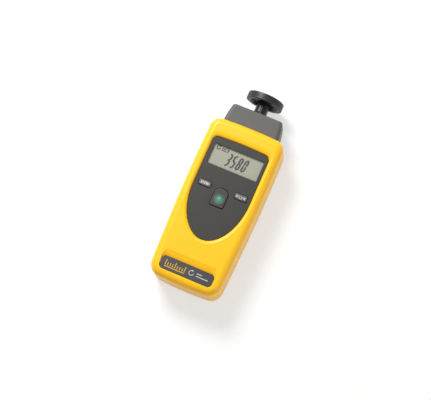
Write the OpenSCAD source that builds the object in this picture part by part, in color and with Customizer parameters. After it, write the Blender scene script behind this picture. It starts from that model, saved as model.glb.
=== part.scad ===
// Hand-held contact tachometer: a moulded case with a display and keys, and a plug-in adapter
// that carries a measuring wheel on a shaft.
// Frame: +X to the right of the display, +Y along the case towards the wheel, +Z out of the display.
// The back rests on z = 0, and the middle of the whole length is at y = 0.
// A place along the case is given as its distance from the case's bottom end and ends in _at.

/* [Case] */
// Greatest width of the case
case_w = 66; // [65:0.5:72]
// Width of the case at its bottom end
case_end_w = 60.5; // [59:0.5:65]
// Width of the case at its top end
case_top_w = 64.6; // [62:0.2:72]
// Length of the case along its middle
case_l = 143.4; // [142:0.2:160]
// Thickness of the case from its back to its front face
case_t = 36; // [35.5:0.5:42]
// Place of the case's greatest width
case_wide_at = 92; // [70:1:110]
// Radius of the two bottom corners
end_corner_r = 9.5; // [7:0.5:14]
// Radius of the two top corners
top_corner_r = 8; // [7:0.5:12]
// How far the bottom end bulges in the middle
end_crown = 2; // [0:0.1:4]
// How far the top end bulges in the middle
top_crown = 1.3; // [0:0.1:3]
// Rounding of the front edge
front_edge_r = 6; // [3:0.5:7]
// Rounding of the back edge
back_edge_r = 5; // [3:0.5:6.5]
// Wall of the case
wall = 2.2; // [1.6:0.1:2.8]
// Height of the joint between the two halves above the back
split_z = 19; // [18.9:0.1:21]

/* [Fascia] */
// Width of the shield-shaped fascia
fascia_w = 49.8; // [46:0.2:52]
// Place of the fascia's top edge in the middle
fascia_top_at = 127.1; // [124:0.1:128]
// Place where the fascia's sides start to draw in
fascia_wide_at = 83; // [76:1:92]
// Place of the fascia's lower tip
fascia_tip_at = 41.7; // [36:0.1:48]
// Radius of the fascia's two top corners
fascia_corner_r = 3.6; // [2:0.1:6]
// How far the fascia's top edge bulges in the middle
fascia_crown = 1.2; // [0:0.1:2]
// Thickness of the fascia
fascia_t = 1.6; // [1.4:0.1:2]
// How far the fascia's face lies under the case's front face
fascia_sink = 2; // [1:0.1:2.4]
// Width of the sloping wall at the sides of the fascia
side_slope = 3; // [1:0.1:3.6]
// Width of the sloping wall above the fascia
top_slope = 5; // [2:0.1:7]
// Thickness of the case's panel behind the fascia
panel_t = 2.2; // [1.6:0.1:2.4]

/* [Display] */
// Width of the opening over the display
view_w = 44.2; // [38:0.2:44.4]
// Length of the opening over the display
view_l = 18; // [14:0.2:18.4]
// Place of the display's middle
view_at = 112; // [110.6:0.1:112.4]
// Thickness of the clear window
window_t = 0.8; // [0.6:0.1:1]
// Thickness of the display's glass
glass_t = 2.4; // [2:0.1:3]

/* [Keys] */
// Width of a side key
side_key_w = 10.8; // [8:0.2:11]
// Length of a side key
side_key_l = 5; // [4:0.2:7]
// Distance of a side key from the middle line
side_key_x = 16; // [14.4:0.1:16.2]
// Place of the side keys
side_key_at = 86; // [80:0.5:88]
// Width of the measuring key
arch_key_w = 12; // [8:0.2:12.6]
// Place of the measuring key's lower edge
arch_key_low_at = 71.2; // [70:0.1:74]
// Place of the measuring key's top
arch_key_high_at = 87.2; // [84:0.1:89]
// Height of a key's face over the fascia
key_rise = 0.9; // [0.9:0.1:1.4]
// Travel of a key
key_travel = 0.8; // [0.3:0.1:0.8]
// Gap between a key and its opening
key_gap = 0.45; // [0.3:0.05:0.6]

/* [Label] */
// Width of the label plate
label_w = 46; // [34:0.5:48]
// Length of the label plate
label_l = 11.3; // [9:0.1:12]
// Thickness of the label plate
label_t = 0.8; // [0.5:0.1:1]
// Place of the label plate's middle
label_at = 12.8; // [12.8:0.1:15]
// Depth of the label plate's upper edge under the front face
label_deep = 2; // [1:0.1:2.4]
// Depth of the label plate's lower edge under the front face
label_shallow = 0.4; // [0.2:0.1:0.9]

/* [Adapter] */
// Width of the adapter where it leaves the case
adapter_w = 49; // [46:0.5:50]
// Width of the adapter at its outer end
adapter_top_w = 44; // [38:0.5:46]
// Thickness of the adapter
adapter_t = 25; // [24:0.5:25.5]
// Length of the adapter outside the case
adapter_out = 15.5; // [15:0.5:22]
// Length of the adapter inside the case
adapter_in = 12.4; // [12.4:0.1:12.6]
// Radius of the adapter's long edges
adapter_corner_r = 3.5; // [2:0.1:5]
// Rounding of the adapter's outer end
adapter_edge_r = 1.4; // [0.8:0.1:2]
// Wall of the adapter
adapter_wall = 2; // [1.6:0.1:2.2]

/* [Shaft and wheel] */
// Diameter of the shaft
shaft_d = 6; // [5:0.1:6.4]
// Length of bare shaft between the adapter and the hub
shaft_show = 2.5; // [1.5:0.1:4]
// Diameter of the wheel over its tyre
wheel_d = 31.8; // [28:0.2:34]
// Width of the wheel
wheel_t = 6; // [5.6:0.1:7]
// Diameter of the wheel's hub
hub_d = 11; // [9.6:0.2:13]
// Length of the hub behind the wheel
hub_l = 8.2; // [6:0.1:12]
// Thickness of the tyre
tyre_t = 1.6; // [1:0.1:2.4]

/* [Batteries] */
// Diameter of a cell
cell_d = 14.2; // [13.5:0.1:14.3]
// Length of a cell without its raised pole
cell_l = 49.2; // [44:0.1:49.2]
// Distance between the two rows of cells
cell_pitch = 15; // [14.8:0.1:16]
// Width of the battery door
door_w = 38; // [36:0.5:39]

/* [Hidden] */
$fn = 64;

// Colours
yellow = "#f8b914";
dark_grey = "#57565a";
mid_grey = "#77777a";
black = "#1d1d1f";
steel = "#c4c6c8";
board_green = "#1f6b45";

// Run of every cut past the face that it opens, and the gap of pieces laid in a seat
over = 1;
seat_gap = 0.15;
slide_gap = 0.3;
run_gap = 0.03;
flush_gap = 0.1;

// Whole length, the bottom end of the case, and the height of the shaft
total_l = case_l + adapter_out + shaft_show + hub_l + wheel_t;
end_y = -total_l / 2;
axis_z = case_t / 2;

// Facets of the case's outline
corner_n = 8;
side_n = 6;
end_n = 5;
edge_n = 5;

// Seam between the halves of the case
seam_w = 0.35;
seam_h = 0.5;

// Heights behind the front face
fascia_z = case_t - fascia_sink;
seat_z = fascia_z - fascia_t;
panel_z = seat_z - panel_t;

// Display stack
glass_gap = 0.3;
glass_z = seat_z - glass_gap - glass_t;
glass_side_rim = 1.3;
glass_end_rim = 2.2;
glass_w = view_w + 2 * glass_side_rim;
glass_l = view_l + 2 * glass_end_rim;
glass_ledge = 1.4;
frame_rim = 0.6;
window_rim = 1.9;
strip_w = 2.4;
strip_inset = 0.3;

// Board
board_t = 1.6;
frame_h = 4.1;
board_z = glass_z - frame_h - board_t;
board_w = 46.4;
board_low_at = 56;
board_top_gap = 1.2;
post_x = 20.2;
post_low_at = 60;
post_high_at = 96.4;
post_r = 2.3;
board_screw_r = 1;
board_screw_head_r = 1.8;
board_screw_head_h = 1.2;
board_screw_l = 4.8;

// Parts on the board
processor_w = 13;
processor_t = 1.5;
processor_at = 108;
can_r = 1.6;
can_l = 4;
can_at = 78;
capacitor_x = 10;
chip_w = 6;
chip_l = 4;
chip_t = 1.4;
chip_at = 106;
chip_left_x = 16;
chip_right_x = 14;

// Keys
key_corner_r = 1.2;
key_chamfer = 0.4;
key_flange = 1;
key_flange_t = 0.8;
key_face_z = fascia_z + key_rise;
key_flange_z = panel_z - flush_gap - key_flange_t;
arch_rise = 5;
arch_n = 16;
marker_w = 4.4;
marker_l = 5.2;
marker_t = 0.5;
marker_up = 7.2;
marker_at = arch_key_low_at + marker_up;
mat_t = 1.2;
mat_w = 43;
mat_low_at = 67;
mat_high_at = 92.6;
mat_gap = 0.3;
mat_top_z = key_flange_z - key_travel - mat_gap;
dome_r = 3.4;
dome_top_r = 2.2;

// Label recess
label_corner_r = 3.3;
label_run = 3.4;
label_side_run = 0.9;
label_tilt = asin((label_deep - label_shallow) / label_l);

// Well for the adapter
well_wall = 2;
well_floor_at = case_l - adapter_in - slide_gap;

// Adapter
adapter_low_at = case_l - adapter_in;
adapter_high_at = case_l + adapter_out;
adapter_top_wall = 2.4;
adapter_curve = 1.8;
adapter_least_r = 1;
adapter_n = 6;
base_t = 1.8;
base_screw_x = 17;
base_post_r = 2.7;

// Bearings: bore, outer diameter and width of a miniature ball bearing
bearing_d = 13;
bearing_w = 5;
bearing_inner_wall = 1;
bearing_outer_wall = 1;
bearing_inner_d = shaft_d + 2 * bearing_inner_wall;
ball_sink = 0.25;
ball_r = (bearing_d / 2 - bearing_outer_wall - bearing_inner_d / 2) / 2 + ball_sink;
ball_path_r = (bearing_d / 2 - bearing_outer_wall + bearing_inner_d / 2) / 2;
ball_gap = 0.05;
ball_count = 7;
bearing_front_at = adapter_high_at - adapter_top_wall - bearing_w;
bearing_apart = 5.6;
bearing_rear_at = bearing_front_at - bearing_w - bearing_apart;
bearing_tube_wall = 2;
bearing_tube_r = bearing_d / 2 + bearing_tube_wall;
bearing_tube_run = 2.2;
ring_t = 1;
ring_w = 1.2;
ring_groove = 0.5;
clip_t = 0.6;
clip_r = 4.1;
clip_groove = 0.5;

// Encoder disc
encoder_r = 9.6;
encoder_t = 1;
encoder_hub_r = 4.4;
encoder_hub_l = 2;
encoder_slots = 8;
encoder_slot_w = 2;
encoder_gap = 1.2;
encoder_at = adapter_low_at + base_t + encoder_gap;

// Wheel
hub_at = adapter_high_at + shaft_show;
wheel_at = hub_at + hub_l;
wheel_front_at = wheel_at + wheel_t;
wheel_bevel = 0.8;
web_t = 2.6;
rim_w = 3.2;
web_sink = 0.5;
hub_slot_w = 1.3;
hub_slot_l = 6;
hub_fillet = 1.6;
shaft_end_gap = 0.2;
shaft_end_depth = 3.2;
shaft_end_at = wheel_front_at - shaft_end_depth;

// Battery bay and door
pole_d = 5.5;
pole_l = 1;
contact_t = 0.5;
cell_gap = 0.1;
spring_l = 5.4;
door_sink = 0.5;
door_t = 2;
door_corner_r = 4;
tongue_w = 1.2;
tongue_t = 0.8;
tongue_up = 0.6;
tongue_z = door_sink + tongue_up;
bay_gap = 0.3;
bay_wall = 1.6;
bay_roof = 1.6;
bay_at = 9;
bay_half_w = (cell_pitch + cell_d) / 2 + bay_gap;
bay_l = 2 * (cell_l + pole_l) + cell_gap + spring_l + 2 * contact_t;
bay_end_at = bay_at + bay_l;
cell_z = door_sink + door_t + bay_gap + cell_d / 2;
bay_z = cell_z + cell_d / 2 + bay_gap;
door_past_bay = 1.5;
door_end_at = bay_end_at + door_past_bay;
grip_count = 5;
grip_pitch = 2.6;
grip_w = 1.1;
grip_l = 16;
grip_deep = 0.6;
grip_at = 14;

// Battery springs
spring_wire_r = 0.45;
spring_base_r = 4.2;
spring_tip_r = 2.2;
spring_turns = 4;
spring_steps = 12;
spring_sides = 6;

// Case screws
boss_r = 4;
front_boss_r = 3;
screw_r = 1.5;
screw_head_r = 2.6;
screw_head_h = 2;
screw_sink = 4.2;
screw_l = 20;
screw_gap = 0.1;
boss_low_at = 14;
boss_high_at = 121.6;
boss_low_x = case_end_w / 2 - wall - boss_r;
boss_high_x = case_top_w / 2 - wall - front_boss_r;

// Half width of the display's frame: round the glass, and between the upper bosses
frame_half_w = min(glass_w / 2 + frame_rim, boss_high_x - front_boss_r - flush_gap);

// Sensor
sensor_t = 1.6;
sensor_board_rim = 2;
holder_l = 7.6;
holder_w = 19;
holder_h = 11.2;
led_r = 2.5;
led_l = 5.4;
led_dome_share = 0.8;
led_x = 4;
led_gap = 0.05;
lens_r = 7.5;
sensor_front_at = well_floor_at - well_wall;

// A place along the case, from its distance to the bottom end
function at(place) = end_y + place;

// Points of an arc, and the inner points of a straight line
function arc(c, r, a0, a1, n) = [for (i = [0:n]) let (a = a0 + (a1 - a0) * i / n) c + r * [cos(a), sin(a)]];
function between(p, q, n) = [for (i = [1:n]) p + (q - p) * i / (n + 1)];

// Outline of a rounded rectangle from y = low to y = high, with its own radius at each end
function rounded(half_w, low, high, low_r, high_r, corners, sides, ends) = concat(
  between([half_w, low + low_r], [half_w, high - high_r], sides),
  arc([half_w - high_r, high - high_r], high_r, 0, 90, corners),
  between([half_w - high_r, high], [high_r - half_w, high], ends),
  arc([high_r - half_w, high - high_r], high_r, 90, 180, corners),
  between([-half_w, high - high_r], [-half_w, low + low_r], sides),
  arc([low_r - half_w, low + low_r], low_r, 180, 270, corners),
  between([low_r - half_w, low], [half_w - low_r, low], ends),
  arc([half_w - low_r, low + low_r], low_r, 270, 360, corners)
);

// Rounded rectangle about the middle
function pad(w, l, r, n = 4) = rounded(w / 2, -l / 2, l / 2, r, r, n, 0, 0);

// Width of the case at a place: widest at case_wide_at, and drawn in towards both ends
function width_at(place) = place > case_wide_at
  ? case_w - (case_w - case_top_w) * pow((place - case_wide_at) / (case_l - case_wide_at), 2)
  : case_w - (case_w - case_end_w) * pow((case_wide_at - place) / case_wide_at, 1.6);

// How far an end bulges at a point, from none at half length to all at the end
function bulge(p, half_w, middle, reach, crown) =
  crown * max(0, (p.y - middle) / reach) * (1 - pow(p.x / half_w, 2));

// Outline of the case, drawn in by inset
function case_outline(inset) =
  let (half_w = case_w / 2 - inset, low = end_crown + inset, high = case_l - top_crown - inset)
  let (middle = (low + high) / 2, reach = (high - low) / 2)
  [for (p = rounded(half_w, low, high, end_corner_r - inset, top_corner_r - inset, corner_n, side_n, end_n))
    let (up = bulge(p, half_w, middle, reach, top_crown))
    let (down = bulge([p.x, 2 * middle - p.y], half_w, middle, reach, end_crown))
    [p.x * width_at(p.y) / case_w, at(p.y + up - down)]];

// Levels of a rounded edge: inset and height, from the side to the flat face
function edge_levels(inset, r, z, up) = [for (i = [1:edge_n]) let (a = 90 * i / edge_n)
  [inset + r * (1 - cos(a)), z + up * r * (sin(a) - 1)]];
function reversed(list) = [for (i = [len(list) - 1:-1:0]) list[i]];

// Outline of the fascia, grown at its sides and tip, and at its top
function shield(side, top) =
  let (half_w = fascia_w / 2 + side, high = fascia_top_at - fascia_crown + top)
  let (r = fascia_corner_r + min(side, top), reach = high - fascia_wide_at)
  let (upper = concat(
    arc([half_w - r, high - r], r, 0, 90, 6),
    between([half_w - r, high], [r - half_w, high], 7),
    arc([r - half_w, high - r], r, 90, 180, 6)))
  let (tip = fascia_wide_at - fascia_tip_at + side)
  concat(
    [for (p = upper) [p.x, at(p.y + bulge(p, half_w, fascia_wide_at, reach, fascia_crown))]],
    [for (i = [0:24]) let (a = 180 + 180 * i / 24) [half_w * cos(a), at(fascia_wide_at + tip * sin(a))]]
  );

// Outline of the measuring key: straight foot and an arched top, grown by grow
function arch_outline(grow) =
  let (half_w = arch_key_w / 2 + grow, low = arch_key_low_at - grow)
  let (r = key_corner_r + max(grow, -key_chamfer))
  let (spring = arch_key_high_at - arch_rise, rise = arch_rise + grow)
  concat(
    [for (i = [0:arch_n]) let (a = 180 * i / arch_n) [half_w * cos(a), at(spring + rise * sin(a))]],
    [for (p = arc([r - half_w, low + r], r, 180, 270, 4)) [p.x, at(p.y)]],
    [for (p = arc([half_w - r, low + r], r, 270, 360, 4)) [p.x, at(p.y)]]
  );

// Rounded sheet that stretches from one place to another
function sheet(w, low_at, high_at, r) =
  [for (p = rounded(w / 2, low_at, high_at, r, r, 4, 0, 0)) [p.x, at(p.y)]];

function raised(points, z) = [for (p = points) [p.x, p.y, z]];

// Closed solid through a list of rings with the same number of points
module loft(rings) {
  n = len(rings[0]);
  m = len(rings);
  walls = [for (j = [0:m - 2], i = [0:n - 1]) let (a = j * n + i, b = j * n + (i + 1) % n)
    each [[a, a + n, b], [b, a + n, b + n]]];
  low = [for (i = [0:n - 1]) i];
  high = [for (i = [n - 1:-1:0]) (m - 1) * n + i];
  polyhedron([for (r = rings) each r], concat(walls, [low], [high]), convexity = 8);
}

// Stands a drawing of x and height upright, and runs its extrusion along +Y from a place
module along(place) {
  translate([0, at(place), 0]) mirror([0, 1, 0]) rotate([90, 0, 0]) children();
}

// Box from its lowest to its highest corner
module block(low, high) {
  translate(low) cube(high - low);
}

// Both sides of the middle line
module both(x) {
  for (side = [-1, 1]) translate([side * x, 0, 0]) children();
}

// Rod along +Y on the shaft's axis
module rod(r, from_at, to_at) {
  translate([0, 0, axis_z]) along(from_at) cylinder(r = r, h = to_at - from_at);
}

// Ring along +Y on the shaft's axis
module collar(outer_r, inner_r, from_at, to_at) {
  difference() {
    rod(outer_r, from_at, to_at);
    rod(inner_r, from_at - over, to_at + over);
  }
}

module case_skin(levels) {
  loft([for (l = levels) raised(case_outline(l[0]), l[1])]);
}

module front_skin() {
  case_skin(concat([[seam_w, split_z], [0, split_z + seam_h], [0, case_t - front_edge_r]],
    edge_levels(0, front_edge_r, case_t, 1)));
}

module front_hollow() {
  case_skin(concat([[wall, split_z - over], [wall, case_t - front_edge_r]],
    edge_levels(wall, front_edge_r - wall, case_t - wall, 1)));
}

module rear_skin() {
  case_skin(concat(reversed(edge_levels(0, back_edge_r, 0, -1)),
    [[0, back_edge_r], [0, split_z - seam_h], [seam_w, split_z]]));
}

module rear_hollow() {
  case_skin(concat(reversed(edge_levels(wall, back_edge_r - wall, wall, -1)),
    [[wall, back_edge_r], [wall, split_z + over]]));
}

// Everything at the places of the case's screws
module at_screws() {
  for (side = [-1, 1]) {
    translate([side * boss_low_x, at(boss_low_at), 0]) children();
    translate([side * boss_high_x, at(boss_high_at), 0]) children();
  }
}

module at_posts() {
  for (side = [-1, 1], place = [post_low_at, post_high_at])
    translate([side * post_x, at(place), 0]) children();
}

// Section of the adapter's well, grown by grow
module well_outline(grow) {
  polygon(pad(adapter_w + 2 * grow, adapter_t + 2 * grow, adapter_corner_r + grow, 6));
}

module well_block(low_z, high_z) {
  intersection() {
    translate([0, 0, axis_z]) along(sensor_front_at) linear_extrude(case_l)
      well_outline(slide_gap + well_wall);
    block([-case_w, end_y, low_z], [case_w, -end_y, high_z]);
  }
}

module well_hollow() {
  translate([0, 0, axis_z]) along(well_floor_at) linear_extrude(case_l) well_outline(slide_gap);
  rod(lens_r + seat_gap, sensor_front_at - over, well_floor_at + over);
}

// Sunk place of the fascia, with its sloping wall
module fascia_recess() {
  slopes = [for (i = [1:edge_n]) let (a = 90 * i / edge_n)
    raised(shield(seat_gap + side_slope * (1 - cos(a)), seat_gap + top_slope * (1 - cos(a))),
      fascia_z + fascia_sink * sin(a))];
  loft(concat(
    [raised(shield(seat_gap, seat_gap), seat_z), raised(shield(seat_gap, seat_gap), fascia_z)],
    slopes,
    [raised(shield(seat_gap + side_slope, seat_gap + top_slope), case_t + over)]
  ));
}

module at_label() {
  translate([0, at(label_at), case_t - (label_deep + label_shallow) / 2])
    rotate([-label_tilt, 0, 0]) children();
}

module label_recess() {
  half_l = label_l / 2 + seat_gap;
  half_w = label_w / 2 + seat_gap;
  r = label_corner_r + seat_gap;
  steps = [for (share = [0, 0.5, 1, 1.5]) [share, pow(share, 0.75) * label_deep]];
  at_label() loft(concat(
    [raised(rounded(half_w, -half_l, half_l, r, r, corner_n, 0, 0), -label_t)],
    [for (s = steps) raised(rounded(half_w + s[0] * label_side_run, -half_l - s[0] * label_side_run,
      half_l + s[0] * label_run, r + s[0] * label_side_run, r + s[0] * label_side_run, corner_n, 0, 0), s[1])]
  ));
}

// Openings for the display and the keys, right through the fascia and the panel
module side_key_openings() {
  both(side_key_x) translate([0, at(side_key_at), glass_z]) linear_extrude(case_t)
    polygon(pad(side_key_w + 2 * key_gap, side_key_l + 2 * key_gap, key_corner_r + key_gap));
}

module arch_key_opening() {
  translate([0, 0, glass_z]) linear_extrude(case_t) polygon(arch_outline(key_gap));
}

module front_case() {
  color(yellow) difference() {
    union() {
      difference() {
        front_skin();
        front_hollow();
      }
      intersection() {
        front_skin();
        union() {
          translate([0, 0, panel_z]) linear_extrude(case_t - panel_z - wall / 2)
            polygon(shield(side_slope + wall, top_slope + wall));
          at_label() block([-label_w / 2 - wall, -label_l / 2 - wall, -label_t - wall],
            [label_w / 2 + wall, label_l / 2 + label_run + wall, label_deep - wall / 2]);
          at_screws() translate([0, 0, split_z]) cylinder(r = front_boss_r, h = case_t - split_z - wall / 2);
          at_posts() translate([0, 0, board_z + board_t])
            cylinder(r = post_r, h = case_t - board_z - board_t - wall / 2);
          well_block(split_z, case_t);
        }
      }
    }
    fascia_recess();
    label_recess();
    well_hollow();
    side_key_openings();
    arch_key_opening();
    block([-glass_w / 2 - slide_gap, at(view_at) - glass_l / 2 - slide_gap, panel_z - over],
      [glass_w / 2 + slide_gap, at(view_at) + glass_l / 2 + slide_gap, seat_z + over]);
    at_screws() translate([0, 0, split_z - over])
      cylinder(r = screw_r + run_gap, h = screw_sink + screw_l - split_z + 2 * over);
    at_posts() translate([0, 0, board_z]) cylinder(r = board_screw_r + run_gap, h = board_screw_l + over);
  }
}

// Outline of the battery door, which runs out past the bottom end, grown by grow
module door_outline(grow) {
  low = -over - door_corner_r;
  translate([0, end_y]) polygon(rounded(door_w / 2 + grow, low, door_end_at + grow,
    door_corner_r, door_corner_r + grow, 6, 0, 0));
}

// Groove and rebate that the battery door slides in
module door_way() {
  translate([0, 0, -over]) linear_extrude(door_sink + door_t + slide_gap / 2 + over) door_outline(slide_gap);
  translate([0, 0, tongue_z - slide_gap / 2]) linear_extrude(tongue_t + slide_gap)
    intersection() {
      door_outline(slide_gap + tongue_w);
      translate([-case_w, end_y - over]) square([2 * case_w, door_end_at + slide_gap + over]);
    }
}

module rear_case() {
  ledge_w = door_w / 2 + tongue_w + 2 * slide_gap + bay_wall;
  ledge_z = door_sink + door_t + bay_wall;
  color(yellow) difference() {
    union() {
      difference() {
        rear_skin();
        rear_hollow();
      }
      intersection() {
        rear_skin();
        union() {
          block([-ledge_w, end_y, 0], [ledge_w, at(door_end_at) + bay_wall + slide_gap, ledge_z]);
          block([-bay_half_w - bay_wall, at(bay_at) - bay_wall, 0],
            [bay_half_w + bay_wall, at(bay_end_at) + bay_wall, bay_z + bay_roof]);
          at_screws() cylinder(r = boss_r, h = split_z);
          well_block(0, split_z);
        }
      }
    }
    block([-bay_half_w, at(bay_at), -over], [bay_half_w, at(bay_end_at), bay_z]);
    door_way();
    well_hollow();
    at_screws() {
      translate([0, 0, -over]) cylinder(r = screw_head_r + screw_gap, h = screw_sink + over);
      cylinder(r = screw_r + screw_gap, h = split_z + over);
    }
  }
}

module battery_door() {
  color(yellow) difference() {
    intersection() {
      rear_skin();
      union() {
        translate([0, 0, door_sink]) linear_extrude(door_t) door_outline(0);
        translate([0, 0, tongue_z]) linear_extrude(tongue_t) intersection() {
          door_outline(tongue_w);
          translate([-case_w, end_y - over]) square([2 * case_w, door_end_at + over]);
        }
      }
    }
    for (i = [0:grip_count - 1])
      block([-grip_l / 2, at(grip_at) + i * grip_pitch, 0],
        [grip_l / 2, at(grip_at) + i * grip_pitch + grip_w, door_sink + grip_deep]);
  }
}

module fascia() {
  color(dark_grey) difference() {
    translate([0, 0, seat_z]) linear_extrude(fascia_t) polygon(shield(0, 0));
    translate([0, at(view_at), seat_z]) {
      block([-view_w / 2, -view_l / 2, -over], [view_w / 2, view_l / 2, fascia_t + over]);
      block([-view_w / 2 - window_rim, -view_l / 2 - window_rim, -over],
        [view_w / 2 + window_rim, view_l / 2 + window_rim, window_t]);
    }
    side_key_openings();
    arch_key_opening();
  }
}

module display_window() {
  color("#dfe6e6", 0.4) translate([0, at(view_at), seat_z]) linear_extrude(window_t)
    square([view_w + 2 * window_rim - 2 * seat_gap, view_l + 2 * window_rim - 2 * seat_gap], center = true);
}

module label_plate() {
  color(dark_grey) at_label() translate([0, 0, -label_t]) linear_extrude(label_t)
    polygon(pad(label_w, label_l, label_corner_r, 6));
}

module lcd_panel() {
  color("#afb0a0") translate([0, at(view_at), glass_z]) {
    block([-glass_w / 2, -glass_l / 2, 0], [glass_w / 2, glass_l / 2, glass_t / 2]);
    block([-glass_w / 2, glass_ledge - glass_l / 2, glass_t / 2], [glass_w / 2, glass_l / 2, glass_t]);
  }
}

module lcd_frame() {
  half_w = frame_half_w;
  half_l = glass_l / 2 + frame_rim;
  inner_l = glass_l / 2 - strip_inset - strip_w - seat_gap;
  color(black) translate([0, at(view_at), board_z + board_t]) difference() {
    block([-half_w, -half_l, 0], [half_w, half_l, frame_h]);
    block([-half_w + 2 * frame_rim, -inner_l + frame_rim, -over],
      [half_w - 2 * frame_rim, inner_l - frame_rim, frame_h + over]);
    for (side = [-1, 1]) translate([0, side * (inner_l + strip_w / 2 + seat_gap), frame_h / 2])
      cube([2 * half_w - 4 * frame_rim, strip_w + 2 * seat_gap, frame_h + over], center = true);
  }
}

module contact_strips() {
  inner_l = glass_l / 2 - strip_inset - strip_w;
  color("#8d8f94") for (side = [-1, 1])
    translate([0, at(view_at) + side * (inner_l + strip_w / 2), board_z + board_t + frame_h / 2])
      cube([2 * frame_half_w - 6 * frame_rim, strip_w, frame_h], center = true);
}

// A key: chamfered face, shank and the flange that stops it behind the panel
module side_key(side) {
  shank = pad(side_key_w, side_key_l, key_corner_r);
  face = pad(side_key_w - 2 * key_chamfer, side_key_l - 2 * key_chamfer, key_corner_r - key_chamfer / 2);
  wide = 2 * (key_gap + key_flange);
  translate([side * side_key_x, at(side_key_at), 0]) {
    loft([raised(shank, key_flange_z), raised(shank, key_face_z - key_chamfer), raised(face, key_face_z)]);
    translate([0, 0, key_flange_z]) linear_extrude(key_flange_t)
      polygon(pad(side_key_w + wide, side_key_l + wide, key_corner_r));
  }
}

module left_key() {
  color(mid_grey) side_key(-1);
}

module right_key() {
  color(mid_grey) side_key(1);
}

module marker_outline(gap) {
  translate([0, at(marker_at)]) polygon(pad(marker_w + 2 * gap, marker_l + 2 * gap, key_corner_r));
}

module measure_key() {
  color(mid_grey) difference() {
    union() {
      loft([raised(arch_outline(0), key_flange_z), raised(arch_outline(0), key_face_z - key_chamfer),
        raised(arch_outline(-key_chamfer), key_face_z)]);
      translate([0, 0, key_flange_z]) linear_extrude(key_flange_t)
        polygon(arch_outline(key_gap + key_flange));
    }
    translate([0, 0, key_face_z - marker_t]) linear_extrude(marker_t + over) marker_outline(seat_gap / 2);
  }
}

module measure_marker() {
  color("#4fae83") translate([0, 0, key_face_z - marker_t]) linear_extrude(marker_t) marker_outline(0);
}

module key_mat() {
  mat_z = board_z + board_t;
  color("#3a3a3e") {
    translate([0, 0, mat_z]) linear_extrude(mat_t)
      polygon(sheet(mat_w, mat_low_at, mat_high_at, key_corner_r));
    for (place = [[-side_key_x, side_key_at], [side_key_x, side_key_at],
        [0, (arch_key_low_at + arch_key_high_at) / 2]])
      translate([place.x, at(place.y), mat_z + mat_t / 2])
        cylinder(r1 = dome_r, r2 = dome_top_r, h = mat_top_z - mat_z - mat_t / 2);
  }
}

module main_board() {
  high_at = sensor_front_at - board_top_gap;
  color(board_green) difference() {
    translate([0, 0, board_z]) linear_extrude(board_t)
      polygon(sheet(board_w, board_low_at, high_at, key_corner_r));
    at_posts() translate([0, 0, board_z - over])
      cylinder(r = board_screw_r + screw_gap, h = board_t + 2 * over);
  }
}

module processor_chip() {
  color(black) translate([0, at(processor_at), board_z - processor_t / 2])
    cube([processor_w, processor_w, processor_t], center = true);
}

// Smaller parts on the board's underside: two capacitors, a quartz can and two small chips
module board_parts() {
  color("#6f7276") {
    both(capacitor_x) translate([0, at(can_at), board_z - can_l]) cylinder(r = 2 * can_r, h = can_l);
    translate([-can_l, at(can_at - 2 * can_l), board_z - can_r]) rotate([0, 90, 0])
      cylinder(r = can_r, h = 2 * can_l);
    for (x = [-chip_left_x, chip_right_x])
      translate([x, at(chip_at), board_z - chip_t / 2]) cube([chip_w, chip_l, chip_t], center = true);
  }
}

// One cell along Y, its raised pole at the end that up names
module cell(x, low_at, up) {
  translate([x, at(low_at), cell_z]) mirror([0, 1, 0]) rotate([90, 0, 0])
    if (up) {
      cylinder(d = cell_d, h = cell_l);
      cylinder(d = pole_d, h = cell_l + pole_l);
    } else {
      cylinder(d = pole_d, h = cell_l + pole_l);
      translate([0, 0, pole_l]) cylinder(d = cell_d, h = cell_l);
    }
}

module battery_cells() {
  length = cell_l + pole_l + cell_gap;
  color("#b87333") for (i = [0, 1]) {
    cell(-cell_pitch / 2, bay_at + contact_t + spring_l + i * length, true);
    cell(cell_pitch / 2, bay_at + contact_t + i * length, false);
  }
}

// A conical wire spring along +Y: rings of points on the wire, turn by turn
module spring(x, low_at, up) {
  steps = spring_turns * spring_steps;
  rise = spring_l - 2 * spring_wire_r;
  rings = [for (i = [0:steps])
    let (share = i / steps, turn = 360 * i / spring_steps)
    let (r = spring_base_r + (spring_tip_r - spring_base_r) * (up ? share : 1 - share))
    let (y = at(low_at) + spring_wire_r + rise * share)
    [for (k = [0:spring_sides - 1]) let (a = 360 * k / spring_sides, out = r + spring_wire_r * cos(a))
      [x + out * cos(turn), y + spring_wire_r * sin(a), cell_z + out * sin(turn)]]];
  loft(rings);
}

module battery_springs() {
  color(steel) {
    spring(-cell_pitch / 2, bay_at + contact_t, true);
    spring(cell_pitch / 2, bay_end_at - contact_t - spring_l, false);
  }
}

module battery_contacts() {
  low_z = cell_z - cell_d / 2 + bay_gap;
  high_z = cell_z + cell_d / 2 - bay_gap;
  color(steel) {
    block([-bay_half_w + bay_gap, at(bay_at), low_z],
      [bay_half_w - bay_gap, at(bay_at) + contact_t, high_z]);
    for (side = [-1, 1]) translate([side * cell_pitch / 2, at(bay_end_at) - contact_t / 2, cell_z])
      cube([cell_d - 2 * bay_gap, contact_t, high_z - low_z], center = true);
  }
}

module sensor_board() {
  half_w = holder_w / 2 + sensor_board_rim;
  front_at = sensor_front_at - holder_l;
  color(board_green)
    block([-half_w, at(front_at - sensor_t), axis_z - holder_h / 2 - sensor_board_rim],
      [half_w, at(front_at), board_z]);
}

module sensor_holder() {
  color(black) difference() {
    block([-holder_w / 2, at(sensor_front_at - holder_l), axis_z - holder_h / 2],
      [holder_w / 2, at(sensor_front_at), min(axis_z + holder_h / 2, board_z)]);
    both(led_x) rod(led_r + led_gap, sensor_front_at - holder_l - over, sensor_front_at + over);
  }
}

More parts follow.
